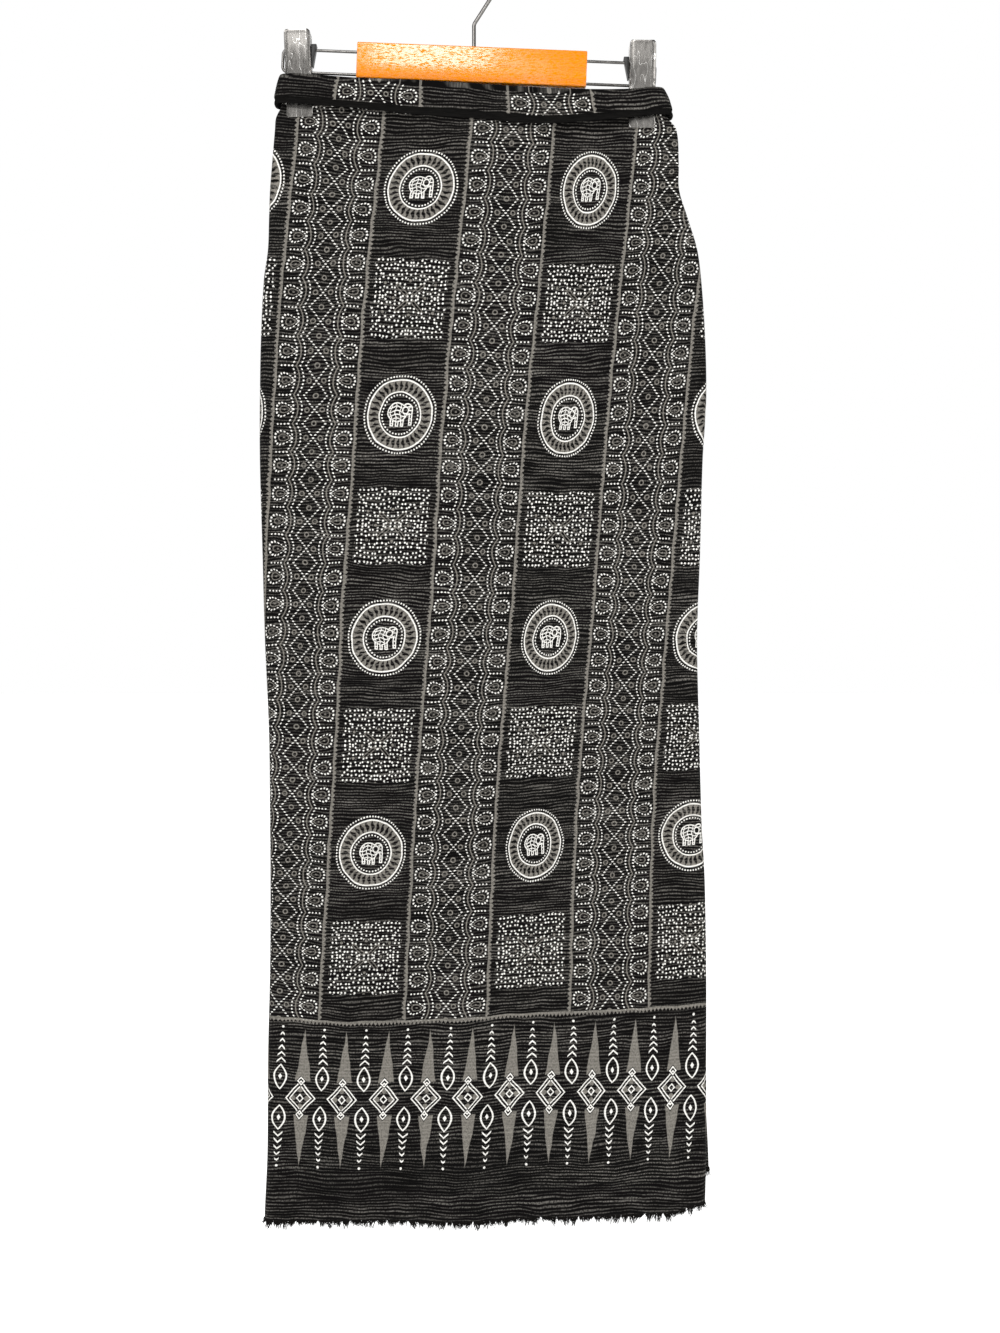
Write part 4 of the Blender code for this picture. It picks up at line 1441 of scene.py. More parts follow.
@dataclass
class FrayedHem:
    """Cut yarns that hang from a hem: short thick tufts, and finer ends between them."""

    stretch: Stretch
    grid: ClothGrid
    yarn: bpy.types.Material
    seed: int = 23
    # The largest tufts: how many at most, lengths between them, their reach and their lean
    tuft_count: int = 400
    tuft_step: Pair = (0.0030, 0.0085)
    tuft_reach: Pair = (0.55, 1.15)
    tuft_lean: float = 0.0016
    thick: float = 0.00055
    # Kinds of yarn end: pitch, shortest, longest, pull to the tuft, sway, thickness
    ends: Rows = (
        (0.00026, 0.0018, 0.0040, 0.15, 0.0006, 1.0),
        (0.00040, 0.0040, 0.0078, 0.75, 0.0011, 0.85),
        (0.00420, 0.0050, 0.0095, 0.20, 0.0035, 0.50),
    )
    least_pull: float = 0.25
    pull_spread: Pair = (0.6, 1.1)
    thick_spread: Pair = (0.7, 1.2)
    depth_sway: float = 0.0007
    curl: Pair = (0.0006, 0.0005)
    # Each yarn end: its steps, the length inside the cloth, how it swings, curls and thins
    yarn_steps: int = 3
    buried: float = 0.0012
    swing_power: float = 1.3
    curl_turn: float = 5.0
    thinning: float = 0.65

    def build(self) -> None:
        """Build the fringe as one piece."""
        dice = np.random.default_rng(self.seed + len(self.stretch.value))
        line = self.grid.points[-1]
        spans = np.linalg.norm(np.diff(line, axis=0), axis=1)
        along = np.concatenate([[0], np.cumsum(spans)])
        tufts = np.cumsum(dice.uniform(*self.tuft_step, self.tuft_count)) - self.tuft_step[1]
        reaches = dice.uniform(*self.tuft_reach, len(tufts))
        leans = dice.normal(0, self.tuft_lean, len(tufts))
        name = f"frayed_hem_{self.stretch.value}"
        curve = bpy.data.curves.new(name, "CURVE")
        curve.dimensions = "3D"
        curve.bevel_depth = self.thick
        curve.bevel_resolution = 0
        for pitch, shortest, longest, pull, sway, thick in self.ends:
            for at in np.arange(0, along[-1], pitch) + dice.uniform(0, pitch):
                at = min(at + dice.uniform(0, pitch), along[-1])
                tuft = int(np.argmin(abs(tufts - at)))
                root = np.array([np.interp(at, along, line[:, i]) for i in range(3)])
                reach = 1 + (reaches[tuft] - 1) * (pull + self.least_pull)
                length = dice.uniform(shortest, longest) * reach
                swing = (tufts[tuft] - at) * pull * dice.uniform(*self.pull_spread)
                swing += leans[tuft] + dice.normal(0, sway)
                swing = np.array([swing, dice.normal(0, self.depth_sway), 0])
                curl = np.array([dice.normal(0, self.curl[0]), dice.normal(0, self.curl[1]), 0])
                self.yarn_end(curve, root, length, swing, curl, thick * dice.uniform(*self.thick_spread))
        pick(new_object(name, curve))
        bpy.ops.object.convert(target="MESH")
        add_to_model(bpy.context.object, f"fray_{self.stretch.value}", "fray", self.yarn)

    def yarn_end(
        self, curve: bpy.types.Curve, root: Array, length: float, swing: Array, curl: Array, thick: float
    ) -> None:
        """Add one yarn end to the fringe.

        Args:
            curve: the fringe's curve.
            root: where it leaves the hem.
            length: how far it hangs.
            swing: how far its tip lies to the side.
            curl: how far it waves.
            thick: its thickness, as a share of the full one.
        """
        spline = curve.splines.new("POLY")
        spline.points.add(self.yarn_steps)
        for i, point in enumerate(spline.points):
            share = i / self.yarn_steps
            drop = np.array([0, 0, self.buried - (length + self.buried) * share])
            wave = curl * math.sin(share * self.curl_turn)
            point.co = (*(root + drop + swing * share**self.swing_power + wave), 1.0)
            point.radius = (1.0 - self.thinning * share) * thick


@dataclass
class WaistTie:
    """A strip of doubled cloth round the waist, knotted at the back, with its two loose ends."""

    form: HangingForm
    cotton: bpy.types.Material
    wrong_side_and_shade: bpy.types.Material
    end_reach: float = 0.0125
    end_power: float = 0.5
    left_flare: float = 0.0147
    right_flare: float = 0.0247
    run_steps: int = 150
    end_steps: int = 24
    bulge: float = 0.0007
    # Puckers: their height, then turns to the metre across, in strength, and of the lower edge
    pucker: float = 0.0004
    pucker_turns: Triple = (170.0, 61.0, 43.0)
    pucker_lean: float = 4.0
    knot_x: float = 0.020
    knot_size: Place = (0.036, 0.012, 0.031)
    knot_edge: float = 0.0048
    knot_smooth: float = 0.5
    # Pleats that lean across the knot: their height and turns, and its pinched middle
    pleat: float = 0.0007
    pleat_turns: float = 9.0
    pleat_lean: float = 0.45
    ridge: Pair = (0.0012, 0.28)
    pinch: Pair = (0.16, 0.35)
    knot_print_tall: float = 0.3
    seam: float = 0.0003
    thick: float = 0.0022
    tail_thick: float = 0.0026
    tail_narrow: float = 0.0065
    tail_wide: float = 0.0125
    tail_offset: float = 0.0085
    tail_rest: float = 0.0008
    tail_rows: int = 70
    tail_columns: int = 12
    # A loose end: how far under the knot's top it starts, how its tip slopes, and its waviness
    tail_tuck: float = 0.003
    tail_slope: float = 0.004
    tail_wave: Pair = (0.12, 11.0)
    # Its soft fold: height, turns across and down
    tail_fold: Triple = (0.0012, 3.4, 5.0)
    # Over these shares of its length it widens, folds and comes to rest on the back
    tail_widening: float = 1 / 3
    tail_folding: float = 1 / 5
    tail_resting: float = 1 / 2.5
    # The print: v along the strip's middle and half its height, u at x 0, and u at the knot
    print_mid: float = 951.5
    print_half: float = 10.5
    print_start: float = 79.8
    print_run: float = 978.0
    knot_print: float = 240.0
    tail_print: float = 30.0
    stations: SmoothTable = SmoothTable(
        "across top bottom front back",
        (
            (-0.1580, 0.1142, 0.1402, 0.0102, 0.0102),
            (-0.1530, 0.1144, 0.1404, 0.0106, 0.0104),
            (-0.1000, 0.1188, 0.1448, 0.0124, 0.0116),
            (-0.0480, 0.1212, 0.1516, 0.0142, 0.0130),
            (0.0050, 0.1248, 0.1548, 0.0150, 0.0136),
            (0.0570, 0.1278, 0.1590, 0.0152, 0.0134),
            (0.1080, 0.1290, 0.1560, 0.0138, 0.0122),
            (0.1460, 0.1274, 0.1512, 0.0108, 0.0104),
            (0.1560, 0.1258, 0.1496, 0.0100, 0.0098),
        ),
    )
    # Round the strip's section: share of the way down, and millimetres outward
    profile: tuple[Pair, ...] = (
        (0.015, -0.6), (0.0, 0.0), (0.015, 0.7), (0.06, 1.1), (0.16, 1.3), (0.28, 1.5), (0.42, 1.7),
        (0.56, 1.8), (0.68, 1.9), (0.75, 1.8), (0.79, 1.4), (0.80, 0.7), (0.815, 0.3), (0.84, 0.5),
        (0.88, 0.8), (0.93, 0.9), (0.98, 0.7), (1.0, 0.2), (0.985, -0.5), (0.94, -0.9), (0.80, -1.0),
        (0.50, -1.0), (0.20, -1.0), (0.05, -0.9),
    )
    # First row of the profile that takes the near-black wrong side: painted shade on the roll's outer face
    shaded_roll_from: int = 10
    # Name, side of the knot, length, degrees from upright
    tails: tuple[tuple[str, int, float, float], ...] = (
        ("tie_end_long", -1, 0.235, 7.0),
        ("tie_end_short", 1, 0.185, 9.0),
    )

    def at(self, across: Array | float, column: str) -> Array:
        """One measure of the strip at a place along it."""
        return self.stations.read(across, column)

    def route(self) -> Array:
        """Rows of x, y, place along the stations and distance along the strip, from the knot round."""
        left, right = self.stations.cells[0, 0], self.stations.cells[-1, 0]
        rows = []
        half = self.run_steps // 2
        for x in np.linspace(self.knot_x, left, half, endpoint=False):
            rows.append((x, float(self.at(x, "back")), x))
        rows += self.end_turn(left, math.pi / 2, -1)
        for x in np.linspace(left, right, self.run_steps, endpoint=False):
            rows.append((x, -float(self.at(x, "front")), x))
        rows += self.end_turn(right, -math.pi / 2, 1)
        for x in np.linspace(right, self.knot_x, half):
            rows.append((x, float(self.at(x, "back")), x))
        table = np.array(rows)
        steps = np.linalg.norm(np.diff(table[:, :2], axis=0), axis=1)
        along = np.concatenate([[0], np.cumsum(steps)])
        middle = int(np.argmin(abs(table[:, 0]) + (table[:, 1] > 0)))
        return np.column_stack([table, along - along[middle]])

    def end_turn(self, x: float, start: float, sign: int) -> list[Place]:
        """The strip's turn round one end.

        Args:
            x: where the turn starts.
            start: its first angle.
            sign: -1 at the left, 1 at the right.

        Returns:
            Rows of x, y and place along the stations.
        """
        back, front = float(self.at(x, "back")), float(self.at(x, "front"))
        rows = []
        for i in range(self.end_steps):
            turn = start + math.pi * i / self.end_steps
            reach = self.end_reach * abs(math.cos(turn)) ** self.end_power
            depth = (back + front) / 2 * abs(math.sin(turn)) ** self.end_power
            rows.append((x + sign * reach, (back - front) / 2 + math.copysign(depth, math.sin(turn)), x))
        return rows

    def build(self) -> None:
        """Build the strip, its knot and its ends."""
        pieces = [self.strip(), self.knot()]
        pieces += [self.tail(*row) for row in self.tails]
        nodes = ("waist_tie", "tie_knot", "tie_tail_long", "tie_tail_short")
        for piece, node in zip(pieces, nodes):
            add_to_model(piece, node, "cloth", self.cotton, self.wrong_side_and_shade)

    def declare(self, piece: bpy.types.Object, flat: Pair, held: str, on: list[str]) -> None:
        """Say what a doubled length was folded and cut to.

        Args:
            piece: the strip or one of its ends.
            flat: its folded width and its length.
            held: how it is held; not used.
            on: the pieces that hold it; not used.
        """
        LOG.info("%s: folded %s", piece.name, flat)

    def strip(self) -> bpy.types.Object:
        """The strip round the waist, its lower edge rolled under.

        Returns:
            The piece.
        """
        route = self.route()
        x, y, across, along = route.T
        heading = np.gradient(route[:, :2], axis=0)
        heading /= np.linalg.norm(heading, axis=1)[:, None]
        out = np.column_stack([-heading[:, 1], heading[:, 0]])
        out *= np.where((out[:, 1] * y + out[:, 0] * x) < 0, -1, 1)[:, None]
        top, bottom = self.at(across, "top"), self.at(across, "bottom")
        flare = np.where(x < 0, self.left_flare, self.right_flare)
        turns, strength, edge = self.pucker_turns
        rows, prints = [], []
        for down, stand in (*self.profile, self.profile[0]):
            wave = np.sin(along * turns + down * self.pucker_lean) * np.sin(along * strength)
            stand_out = stand * MM + (self.bulge + self.pucker * wave) * math.sin(math.pi * down)
            sag = self.pucker * np.sin(along * edge) * (down > 0.5)
            drop = top + (bottom - top) * down + sag
            wide = x * (1 + flare * (2 * down - 1))
            rows.append(np.column_stack([wide + out[:, 0] * stand_out, y + out[:, 1] * stand_out, -drop]))
            height = np.clip(((top + bottom) / 2 - drop) / MM, -self.print_half, self.print_half)
            u = self.print_start + along * self.print_run
            prints.append(np.column_stack([u, self.print_mid + height]) * MM)
        grid = ClothGrid(np.array(rows), np.array(prints))
        length, girth = grid.flat_size()
        strip = self.closed_strip("waist_tie_strip", grid)
        self.declare(strip, (round(girth / 2, 4), length), "stretched", ["skirt_front", "skirt_flap"])
        return strip

    def closed_strip(self, name: str, grid: ClothGrid) -> bpy.types.Object:
        """Make a closed strip from loops round its section, with the unprinted wrong side where it rolls
        under, which is also painted shade.

        Args:
            name: the piece's name.
            grid: loops along the strip, with the first repeated as the last.

        Returns:
            The piece.
        """
        piece = grid.object(name, 0.0)
        rows = len(self.profile)
        for i, face in enumerate(piece.data.polygons):
            row = i // (grid.points.shape[1] - 1)
            # Rows from the roll on take the near-black wrong side, painted shade on the roll's lit outer
            # face
            face.material_index = int(self.shaded_roll_from <= row < rows)
        pick(piece)
        bpy.ops.object.mode_set(mode="EDIT")
        bpy.ops.mesh.select_all(action="SELECT")
        bpy.ops.mesh.remove_doubles(threshold=SAME_POINT)
        bpy.ops.mesh.fill_holes(sides=0)
        bpy.ops.mesh.normals_make_consistent(inside=False)
        bpy.ops.object.mode_set(mode="OBJECT")
        return piece

    def knot(self) -> bpy.types.Object:
        """The knot: a rounded pad with the strip wrapped over it.

        Returns:
            The piece.
        """
        knot = rounded_box("tie_knot_wrapped", self.knot_size, self.knot_edge, 3)
        bpy.ops.object.mode_set(mode="EDIT")
        bpy.ops.mesh.subdivide(number_cuts=2)
        bpy.ops.mesh.vertices_smooth(factor=self.knot_smooth, repeat=3)
        bpy.ops.object.mode_set(mode="OBJECT")
        half = Vector(self.knot_size) / 2
        for vert in knot.data.vertices:
            across, up = vert.co.x / half.x, vert.co.z / half.z
            lean = up + self.pleat_lean * across
            pleat = self.pleat * math.cos(lean * self.pleat_turns)
            pleat += self.ridge[0] * math.exp(-((lean / self.ridge[1]) ** 2))
            vert.co.y += math.copysign(pleat, vert.co.y)
            vert.co.z *= 1 - self.pinch[0] * math.exp(-((across / self.pinch[1]) ** 2))
        knot.location = self.knot_centre()
        bpy.ops.object.transform_apply(location=True, rotation=True, scale=True)
        self.print_knot(knot)
        return knot

    def knot_centre(self) -> Vector:
        """Centre of the knot."""
        drop = float(self.at(self.knot_x, "top") + self.at(self.knot_x, "bottom")) / 2
        out = self.bulge + self.thick / 2 + self.seam + self.knot_size[1] / 2
        return Vector((self.knot_x, float(self.at(self.knot_x, "back")) + out, -drop))

    def print_knot(self, knot: bpy.types.Object) -> None:
        """Lay the print on the knot straight from behind."""
        knot.data.shade_smooth()
        layer = knot.data.uv_layers[0]
        layer.name = PRINT_MAP
        for loop in knot.data.loops:
            place = knot.data.vertices[loop.vertex_index].co
            height = (place.z - knot.data.vertices[0].co.z) * self.knot_print_tall
            layer.data[loop.index].uv = (self.knot_print * MM - place.x, self.print_mid * MM + height)

    def tail(self, name: str, side: int, length: float, lean: float) -> bpy.types.Object:
        """One loose end: it drops from the knot onto the back and hangs down it.

        Args:
            name: the piece's name.
            side: the side of the knot that it leaves.
            length: its length.
            lean: degrees from upright.

        Returns:
            The piece.
        """
        knot = self.knot_centre()
        start = -knot.z + self.knot_size[2] / 2 - self.tail_tuck
        slant = math.radians(lean)
        share = np.linspace(0, 1, self.tail_rows + 1)[:, None]
        across = np.linspace(-1, 1, self.tail_columns + 1)[None, :]
        drop = start + length * share * math.cos(slant) + self.tail_slope * share * across * side
        middle = knot.x + side * (self.tail_offset + length * share * math.sin(slant))
        half = self.tail_narrow + (self.tail_wide - self.tail_narrow) * ease(share / self.tail_widening)
        deep, turns = self.tail_wave
        x = middle + half * across * (1 - deep * np.sin(share * turns + side))
        rest = self.form.flap_y(x, drop) + self.form.wall / 2 + self.tail_rest + self.tail_thick / 2
        fold, turns_across, turns_down = self.tail_fold
        folds = np.cos(across * turns_across + share * turns_down * side) * ease(share / self.tail_folding)
        y = rest + (knot.y - rest) * (1 - ease(share / self.tail_resting)) + fold * folds + fold
        u = (self.knot_print + side * self.tail_print) * MM + length * share + 0 * across
        v = self.print_mid * MM - half * across * side
        grid = ClothGrid(np.stack([x, y, -drop], axis=-1), np.stack([u, v], axis=-1))
        tail = grid.object(name, self.tail_thick)
        self.declare(tail, grid.flat_size(), "hung", ["tie_knot_wrapped"])
        return tail


@dataclass
class WireBender:
    """A round wire made as on a bench: pushed straight, and bent round pegs."""

    name: str
    radius: float
    sides: int = 16

    def start(self, place: Vector, heading: Vector) -> None:
        """Cut the wire's first end.

        Args:
            place: the centre of the end.
            heading: the way the wire leaves it, in the XZ plane.
        """
        bpy.ops.object.select_all(action="DESELECT")
        turn = math.atan2(heading.x, heading.z)
        bpy.ops.mesh.primitive_circle_add(
            vertices=self.sides, radius=self.radius, fill_type="NGON", location=place, rotation=(0, turn, 0)
        )
        self.wire = name_active(self.name)
        bpy.ops.object.transform_apply(location=True, rotation=True, scale=True)
        bpy.ops.object.mode_set(mode="EDIT")
        bpy.ops.mesh.select_mode(type="FACE")
        bpy.ops.mesh.select_all(action="SELECT")
        self.place = Vector(place)
        self.heading = heading.normalized()

    def straight(self, length: float) -> None:
        """Push out a straight length."""
        step = self.heading * length
        bpy.ops.mesh.extrude_region_move(TRANSFORM_OT_translate={"value": step})
        self.place = self.place + step

    def bend(self, degrees: float, peg: float, steps: int) -> None:
        """Bend the wire round a peg.

        Args:
            degrees: how far, clockwise as seen from the front.
            peg: radius of the bend at the wire's middle.
            steps: how many short lengths make it.
        """
        sign = math.copysign(1.0, degrees)
        side = Vector((self.heading.z, 0, -self.heading.x)) * sign
        centre = self.place + side * peg
        angle = math.radians(degrees)
        turn = Quaternion((0, 1, 0), angle)
        # The spin tool turns the other way round its axis
        bpy.ops.mesh.spin(steps=steps, angle=-angle, center=centre, axis=(0, 1, 0))
        self.place = centre + turn @ (self.place - centre)
        self.heading = turn @ self.heading

    def cut(self) -> bpy.types.Object:
        """Cut the wire off.

        Returns:
            The wire.
        """
        bpy.ops.mesh.select_all(action="SELECT")
        bpy.ops.mesh.remove_doubles(threshold=SAME_POINT)
        bpy.ops.mesh.normals_make_consistent(inside=False)
        bpy.ops.object.mode_set(mode="OBJECT")
        shade(self.wire)
        return self.wire


@dataclass
class ClipHanger:
    """The hanger: a lacquered block, a hook, two bent rods and a clip on each."""

    tilt: float = math.radians(2.3)
    block_centre: Place = (-0.0019, 0.0, -0.1052)
    block_size: Place = (0.200, 0.015, 0.031)
    block_edge: float = 0.0012
    block_segments: int = 4
    gap: float = 0.0003
    rod: float = 0.0013
    rod_upper: float = 0.0086
    rod_lower: float = -0.0112
    left_reach: float = 0.1660
    right_reach: float = 0.1610
    rod_corner: float = 0.0045
    hook_wire: float = 0.0017
    hook_ring: float = 0.0245
    hook_slant: float = 32.5
    hook_turn: float = 237.5
    hook_bend: float = 0.006
    hook_seat: float = 0.0004
    corner_steps: int = 6
    ring_steps: int = 44
    # Side, x and drop of the tip, degrees of lean, the way to the block
    clips: tuple[tuple[str, float, float, float, int], ...] = (
        ("left", -0.1515, 0.1498, -1.6, 1),
        ("right", 0.1461, 0.1592, 0.6, -1),
    )
    plate: float = 0.0009
    plate_edge: float = 0.00025
    plate_sharp: float = 45.0
    jaw_half: float = 0.0109
    jaw_corner: float = 0.0010
    # Faces across and up a jaw, and those across its folded side
    jaw_grid: tuple[int, int] = (26, 60)
    side_faces: int = 5
    bend_flat: float = 0.0012
    bend_share: float = 0.3
    # The sides fold in from this height of the jaw, over this much of it
    flange_from: float = 0.032
    flange_ramp: float = 0.008
    jaw_rows: SmoothTable = SmoothTable(
        "height stand half_width",
        (
            (0.0000, 0.00300, 0.0110), (0.0022, 0.00320, 0.0114), (0.0150, 0.00440, 0.0110),
            (0.0300, 0.00595, 0.0109), (0.0370, 0.00680, 0.0109), (0.0390, 0.00710, 0.0109),
            (0.0560, 0.00880, 0.0109), (0.0715, 0.00970, 0.0109), (0.0740, 0.00990, 0.0106),
        ),
    )
    cam_size: Place = (0.0048, 0.0096, 0.0186)
    cam_edge: float = 0.0006
    cam_foot: float = 0.25
    cam_slope: Pair = (1.3, 0.15)
    cam_above_wire: float = 0.0040

    def build(self) -> None:
        """Build every piece of the hanger."""
        wood, wire, plate, nylon = WOOD.make(), WIRE_STEEL.make(), PLATE_STEEL.make(), NYLON.make()
        add_to_model(self.block(), "hanger_block", "wood", wood)
        add_to_model(self.hook(), "hanger_hook", "steel", wire)
        for side, tip_x, tip_drop, degrees, inward in self.clips:
            tip, lean = (tip_x, 0.0, -tip_drop), math.radians(degrees)
            add_to_model(self.rod_bent(side), f"hanger_rod_{side}", "steel", wire)
            for face, sign in (("front", -1), ("back", 1)):
                jaw = self.jaw(f"jaw_{side}_{face}", sign)
                self.set_at(jaw, tip, lean)
                add_to_model(jaw, f"clip_{side}_{face}", "steel", plate)
            cam = self.cam(f"moulded_wedge_{side}", tip, inward)
            self.set_at(cam, tip, lean)
            add_to_model(cam, f"clip_{side}_cam", "black", nylon)

    def set_at(self, piece: bpy.types.Object, place: Place, turn: float) -> None:
        """Lean a piece about +Y and put it in place, in its mesh."""
        pick(piece)
        piece.rotation_euler = (0.0, turn, 0.0)
        piece.location = place
        bpy.ops.object.transform_apply(location=True, rotation=True, scale=True)

    def block(self) -> bpy.types.Object:
        """The wooden block, its edges eased."""
        block = rounded_box("lacquered_block", self.block_size, self.block_edge, self.block_segments)
        shade(block)
        self.set_at(block, self.block_centre, self.tilt)
        return block

    def hook(self) -> bpy.types.Object:
        """The hook: an upright shank, a slant, and a ring that passes over the rail.

        Returns:
            The hook.
        """
        slant = math.radians(self.hook_slant)
        ring_z = self.hook_wire - self.hook_ring
        corner = ring_z - self.hook_ring / math.sin(slant)
        half = self.block_size[2] / 2 / math.cos(self.tilt)
        foot = self.block_centre[2] + half + self.block_centre[0] * math.tan(self.tilt) + self.hook_seat
        cut_back = self.hook_bend * math.tan(slant / 2)
        bender = WireBender("bent_hook", self.hook_wire)
        bender.start(Vector((0, 0, foot)), Vector((0, 0, 1)))
        bender.straight(corner - cut_back - foot)
        bender.bend(self.hook_slant, self.hook_bend, self.corner_steps)
        bender.straight(self.hook_ring / math.tan(slant) - cut_back)
        bender.bend(-self.hook_turn, self.hook_ring, self.ring_steps)
        return bender.cut()

    def rod_bent(self, side: str) -> bpy.types.Object:
        """A rod out of the block's end, round past the clip, and back.

        Args:
            side: left or right.

        Returns:
            The rod.
        """
        sign = -1 if side == "left" else 1
        reach = self.left_reach if side == "left" else self.right_reach
        foot = self.block_size[0] / 2 + self.gap
        run = reach - self.rod - self.rod_corner - foot
        bender = WireBender(f"bent_rod_{side}", self.rod)
        bender.start(Vector((sign * foot, 0, self.rod_upper)), Vector((sign, 0, 0)))
        bender.straight(run)
        bender.bend(sign * 90, self.rod_corner, self.corner_steps)
        bender.straight(self.rod_upper - self.rod_lower - 2 * self.rod_corner)
        bender.bend(sign * 90, self.rod_corner, self.corner_steps)
        bender.straight(run)
        rod = bender.cut()
        self.set_at(rod, self.block_centre, self.tilt)
        return rod

    def jaw(self, name: str, sign: int) -> bpy.types.Object:
        """One pressed jaw: a plain tip, and above it sides folded in toward the rods.

        Args:
            name: the piece's name.
            sign: -1 for the front jaw, 1 for the back one.

        Returns:
            The jaw, with its tip at the origin.
        """
        columns, rows = self.jaw_grid
        tall = float(self.jaw_rows.cells[-1, 0])
        inner = self.rod + self.gap + self.plate / 2
        bpy.ops.object.select_all(action="DESELECT")
        bpy.ops.mesh.primitive_grid_add(x_subdivisions=columns, y_subdivisions=rows, size=2.0)
        jaw = name_active(name)
        for vert in jaw.data.vertices:
            column = round((vert.co.x + 1) / 2 * columns)
            height = tall * (vert.co.y + 1) / 2
            stand = float(self.jaw_rows.read(height, "stand"))
            half = float(self.jaw_rows.read(height, "half_width"))
            half -= self.rounding(tall - height) + self.rounding(height)
            depth = float(ease((height - self.flange_from) / self.flange_ramp)) * (stand - inner)
            # Faces from the rim inward: the folded side, the bend, then the plain middle
            rim = min(column, columns - column) - self.side_faces
            if rim < 0:
                x, y = half, stand + depth * rim / self.side_faces
            elif rim == 0:
                bend = self.bend_flat * self.bend_share
                x, y = half - bend, stand - min(depth, bend)
            else:
                x, y = (half - self.bend_flat) * (1 - rim / (columns / 2 - self.side_faces)), stand
            side = math.copysign(1.0, column - columns / 2)
            vert.co = Vector((x * side, y * sign, height))
        thicken(jaw, self.plate)
        bevel = jaw.modifiers.new("edges", "BEVEL")
        bevel.width = self.plate_edge
        bevel.segments = 2
        bevel.limit_method = "ANGLE"
        bevel.angle_limit = math.radians(SHARP_FROM)
        bpy.ops.object.modifier_apply(modifier=bevel.name)
        shade(jaw, self.plate_sharp)
        return jaw

    def rounding(self, away: float) -> float:
        """How far a jaw's rounded corner draws in its side, at a distance from its end."""
        short = self.jaw_corner - min(self.jaw_corner, away)
        return self.jaw_corner - math.sqrt(max(0.0, self.jaw_corner**2 - short**2))

    def cam(self, name: str, tip: Place, inward: int) -> bpy.types.Object:
        """The black wedge on the upper rod, on the block's side of a clip.

        Args:
            name: the piece's name.
            tip: the place of the clip's tip.
            inward: the way to the block.

        Returns:
            The wedge, about the clip's tip.
        """
        wide, _, tall = self.cam_size
        across = inward * (self.jaw_half + self.plate / 2 + self.gap + wide / 2)
        along = tip[0] + across - self.block_centre[0]
        wire = self.block_centre[2] + self.rod_upper - along * math.tan(self.tilt)
        lift = wire - tip[2] + self.cam_above_wire - tall / 2
        cam = rounded_box(name, self.cam_size, self.cam_edge, 3)
        shade(cam)
        straight = -inward * wide / 2
        steep, start = self.cam_slope
        for vert in cam.data.vertices:
            low = max(0.0, 0.5 - vert.co.z / tall)
            narrow = 1 - (1 - self.cam_foot) * float(ease(low * steep - start))
            vert.co.x = straight + (vert.co.x - straight) * narrow
            vert.co += Vector((across, 0.0, lift))
        return cam


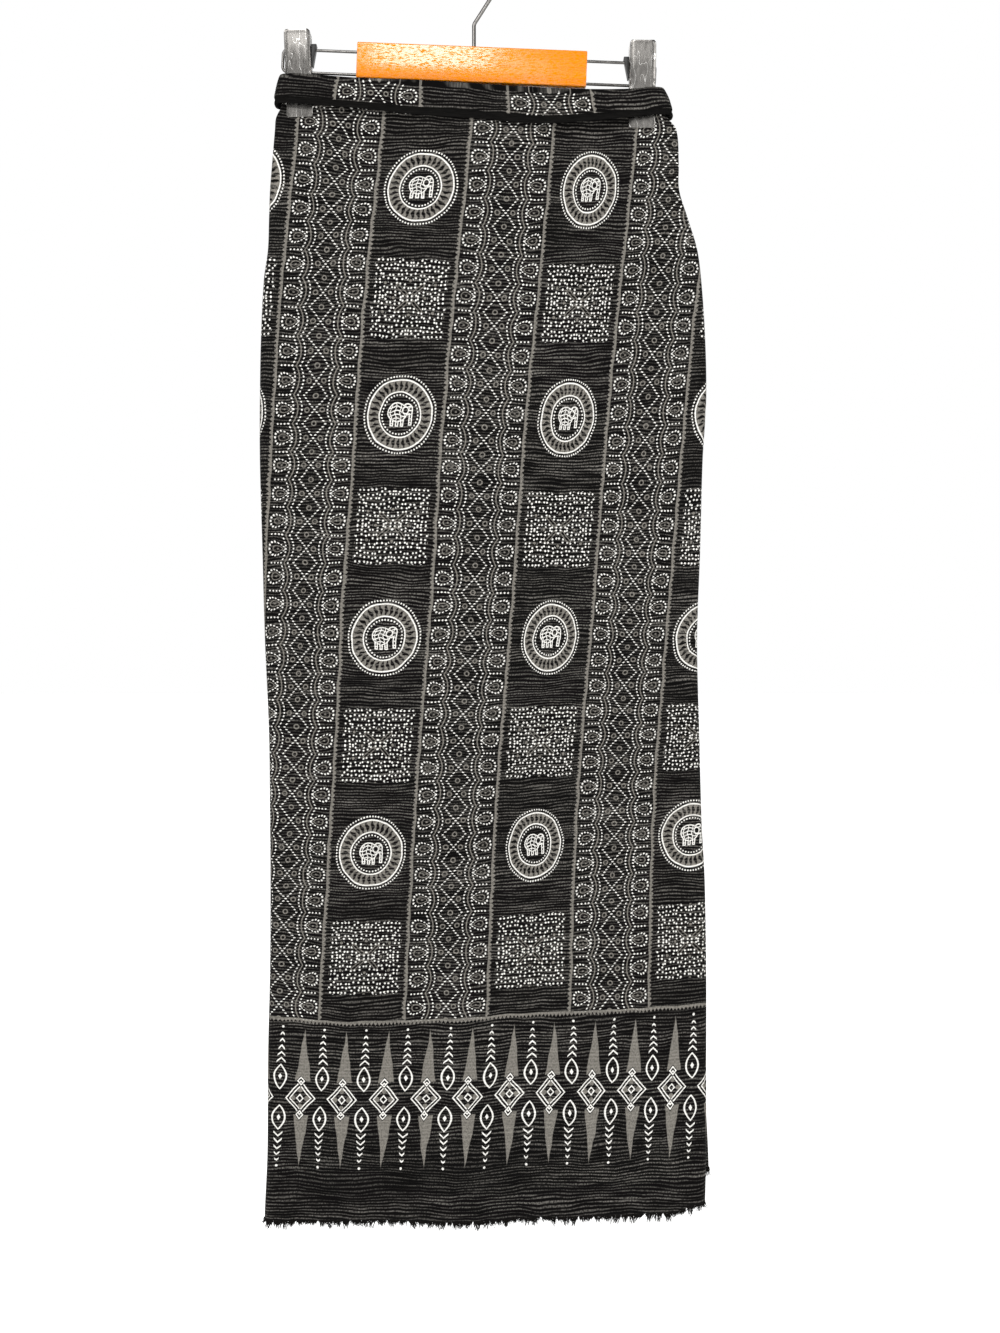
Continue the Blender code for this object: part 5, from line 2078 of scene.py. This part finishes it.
@dataclass
class Studio:
    """A pale floor, soft light and the camera at the photograph's place."""

    eye: Place = (0.02267, -1.6, -0.6281)
    tall_view: float = 1.162
    floor_drop: float = 1.25
    sensor: float = 36.0
    # The room behind the camera: its brightness, and how fast it falls off toward there
    dim: float = 0.22
    dim_slope: float = 2.5
    aim: Place = (0.0, 0.0, -0.4)
    # Name, place, width, height, watts
    lights: tuple[tuple[str, Place, float, float, float], ...] = (
        ("softbox_left", (-0.42, -3.6, 1.8), 1.18, 1.9, 78.0),
        ("softbox_far_left", (-2.3, -2.9, 1.6), 1.3, 1.3, 42.0),
        ("softbox_right", (2.6, -3.2, 0.2), 1.6, 1.6, 40.0),
        ("strip_right", (0.5, -3.7, 0.62), 0.34, 1.5, 2.6),
    )
    floor_radius: float = 40.0
    floor_sides: int = 96
    floor_roughness: float = 0.9
    floor_glow: float = 0.6

    def build(self) -> None:
        """Build the camera, lights, world and floor."""
        bpy.context.scene.view_settings.view_transform = "Standard"
        data = bpy.data.cameras.new("camera")
        data.sensor_width = self.sensor
        data.lens = self.sensor * -self.eye[1] / self.tall_view
        camera = new_object("camera", data)
        camera.location = self.eye
        camera.rotation_euler = (math.pi / 2, 0.0, 0.0)
        bpy.context.scene.camera = camera
        self.room()
        for light in self.lights:
            self.softbox(*light)
        self.floor()

    def room(self) -> None:
        """White walls behind the skirt, and a dimmer room behind the camera for the metal to mirror."""
        world = bpy.data.worlds.new("white_room")
        world.use_nodes = True
        tree = world.node_tree
        way = add_node(tree, "ShaderNodeTexCoord")
        parts = add_node(tree, "ShaderNodeSeparateXYZ", None, {0: way.outputs["Generated"]})
        behind = Field(parts.outputs[1]).work("MULTIPLY_ADD", self.dim_slope, 0.5, clamp=True)
        bright = behind.work("MULTIPLY_ADD", 1.0 - self.dim, self.dim)
        seen = Field(add_node(tree, "ShaderNodeLightPath").outputs["Is Camera Ray"])
        set_inputs(tree.nodes["Background"], {"Color": (1.0, 1.0, 1.0, 1.0), "Strength": bright | seen})
        bpy.context.scene.world = world

    def softbox(self, name: str, place: Place, width: float, height: float, power: float) -> None:
        """A soft light that faces the skirt.

        Args:
            name: its name.
            place: its centre.
            width: its width.
            height: its height.
            power: watts.
        """
        data = bpy.data.lights.new(name, "AREA")
        data.shape = "RECTANGLE"
        data.size = width
        data.size_y = height
        data.energy = power
        light = new_object(name, data)
        light.location = place
        light.rotation_euler = (Vector(self.aim) - Vector(place)).to_track_quat("-Z", "Y").to_euler()

    def floor(self) -> None:
        """A pale floor under the hem."""
        bpy.ops.object.select_all(action="DESELECT")
        size = {"vertices": self.floor_sides, "radius": self.floor_radius}
        bpy.ops.mesh.primitive_circle_add(**size, fill_type="NGON", location=(0, 0, -self.floor_drop))
        floor = bpy.context.object
        floor.name = "pale_floor"
        # Painted board, matt and off-white
        material, _, shader = new_material("painted_floor")
        look = {"Base Color": linear("fbfbfa"), "Roughness": self.floor_roughness}
        look |= {"Emission Color": (1.0, 1.0, 1.0, 1.0), "Emission Strength": self.floor_glow}
        set_inputs(shader, look)
        floor.data.materials.append(material)


def main() -> None:
    """Build the looks round the frame and report each piece."""
    logging.basicConfig(level=logging.INFO, format="%(message)s")
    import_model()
    Studio().build()
    form = HangingForm()
    cotton = RibbedCotton().make()
    yarn = YARN.make()
    panel = WrapPanel(form, cotton)
    grids = panel.build()
    for stretch, grid in grids.items():
        FrayedHem(stretch, grid, yarn).build()
    panel.declare(grids)
    WaistTie(form, cotton, WRONG_SIDE_AND_SHADE.make()).build()
    ClipHanger().build()


if __name__ == "__main__":
    main()
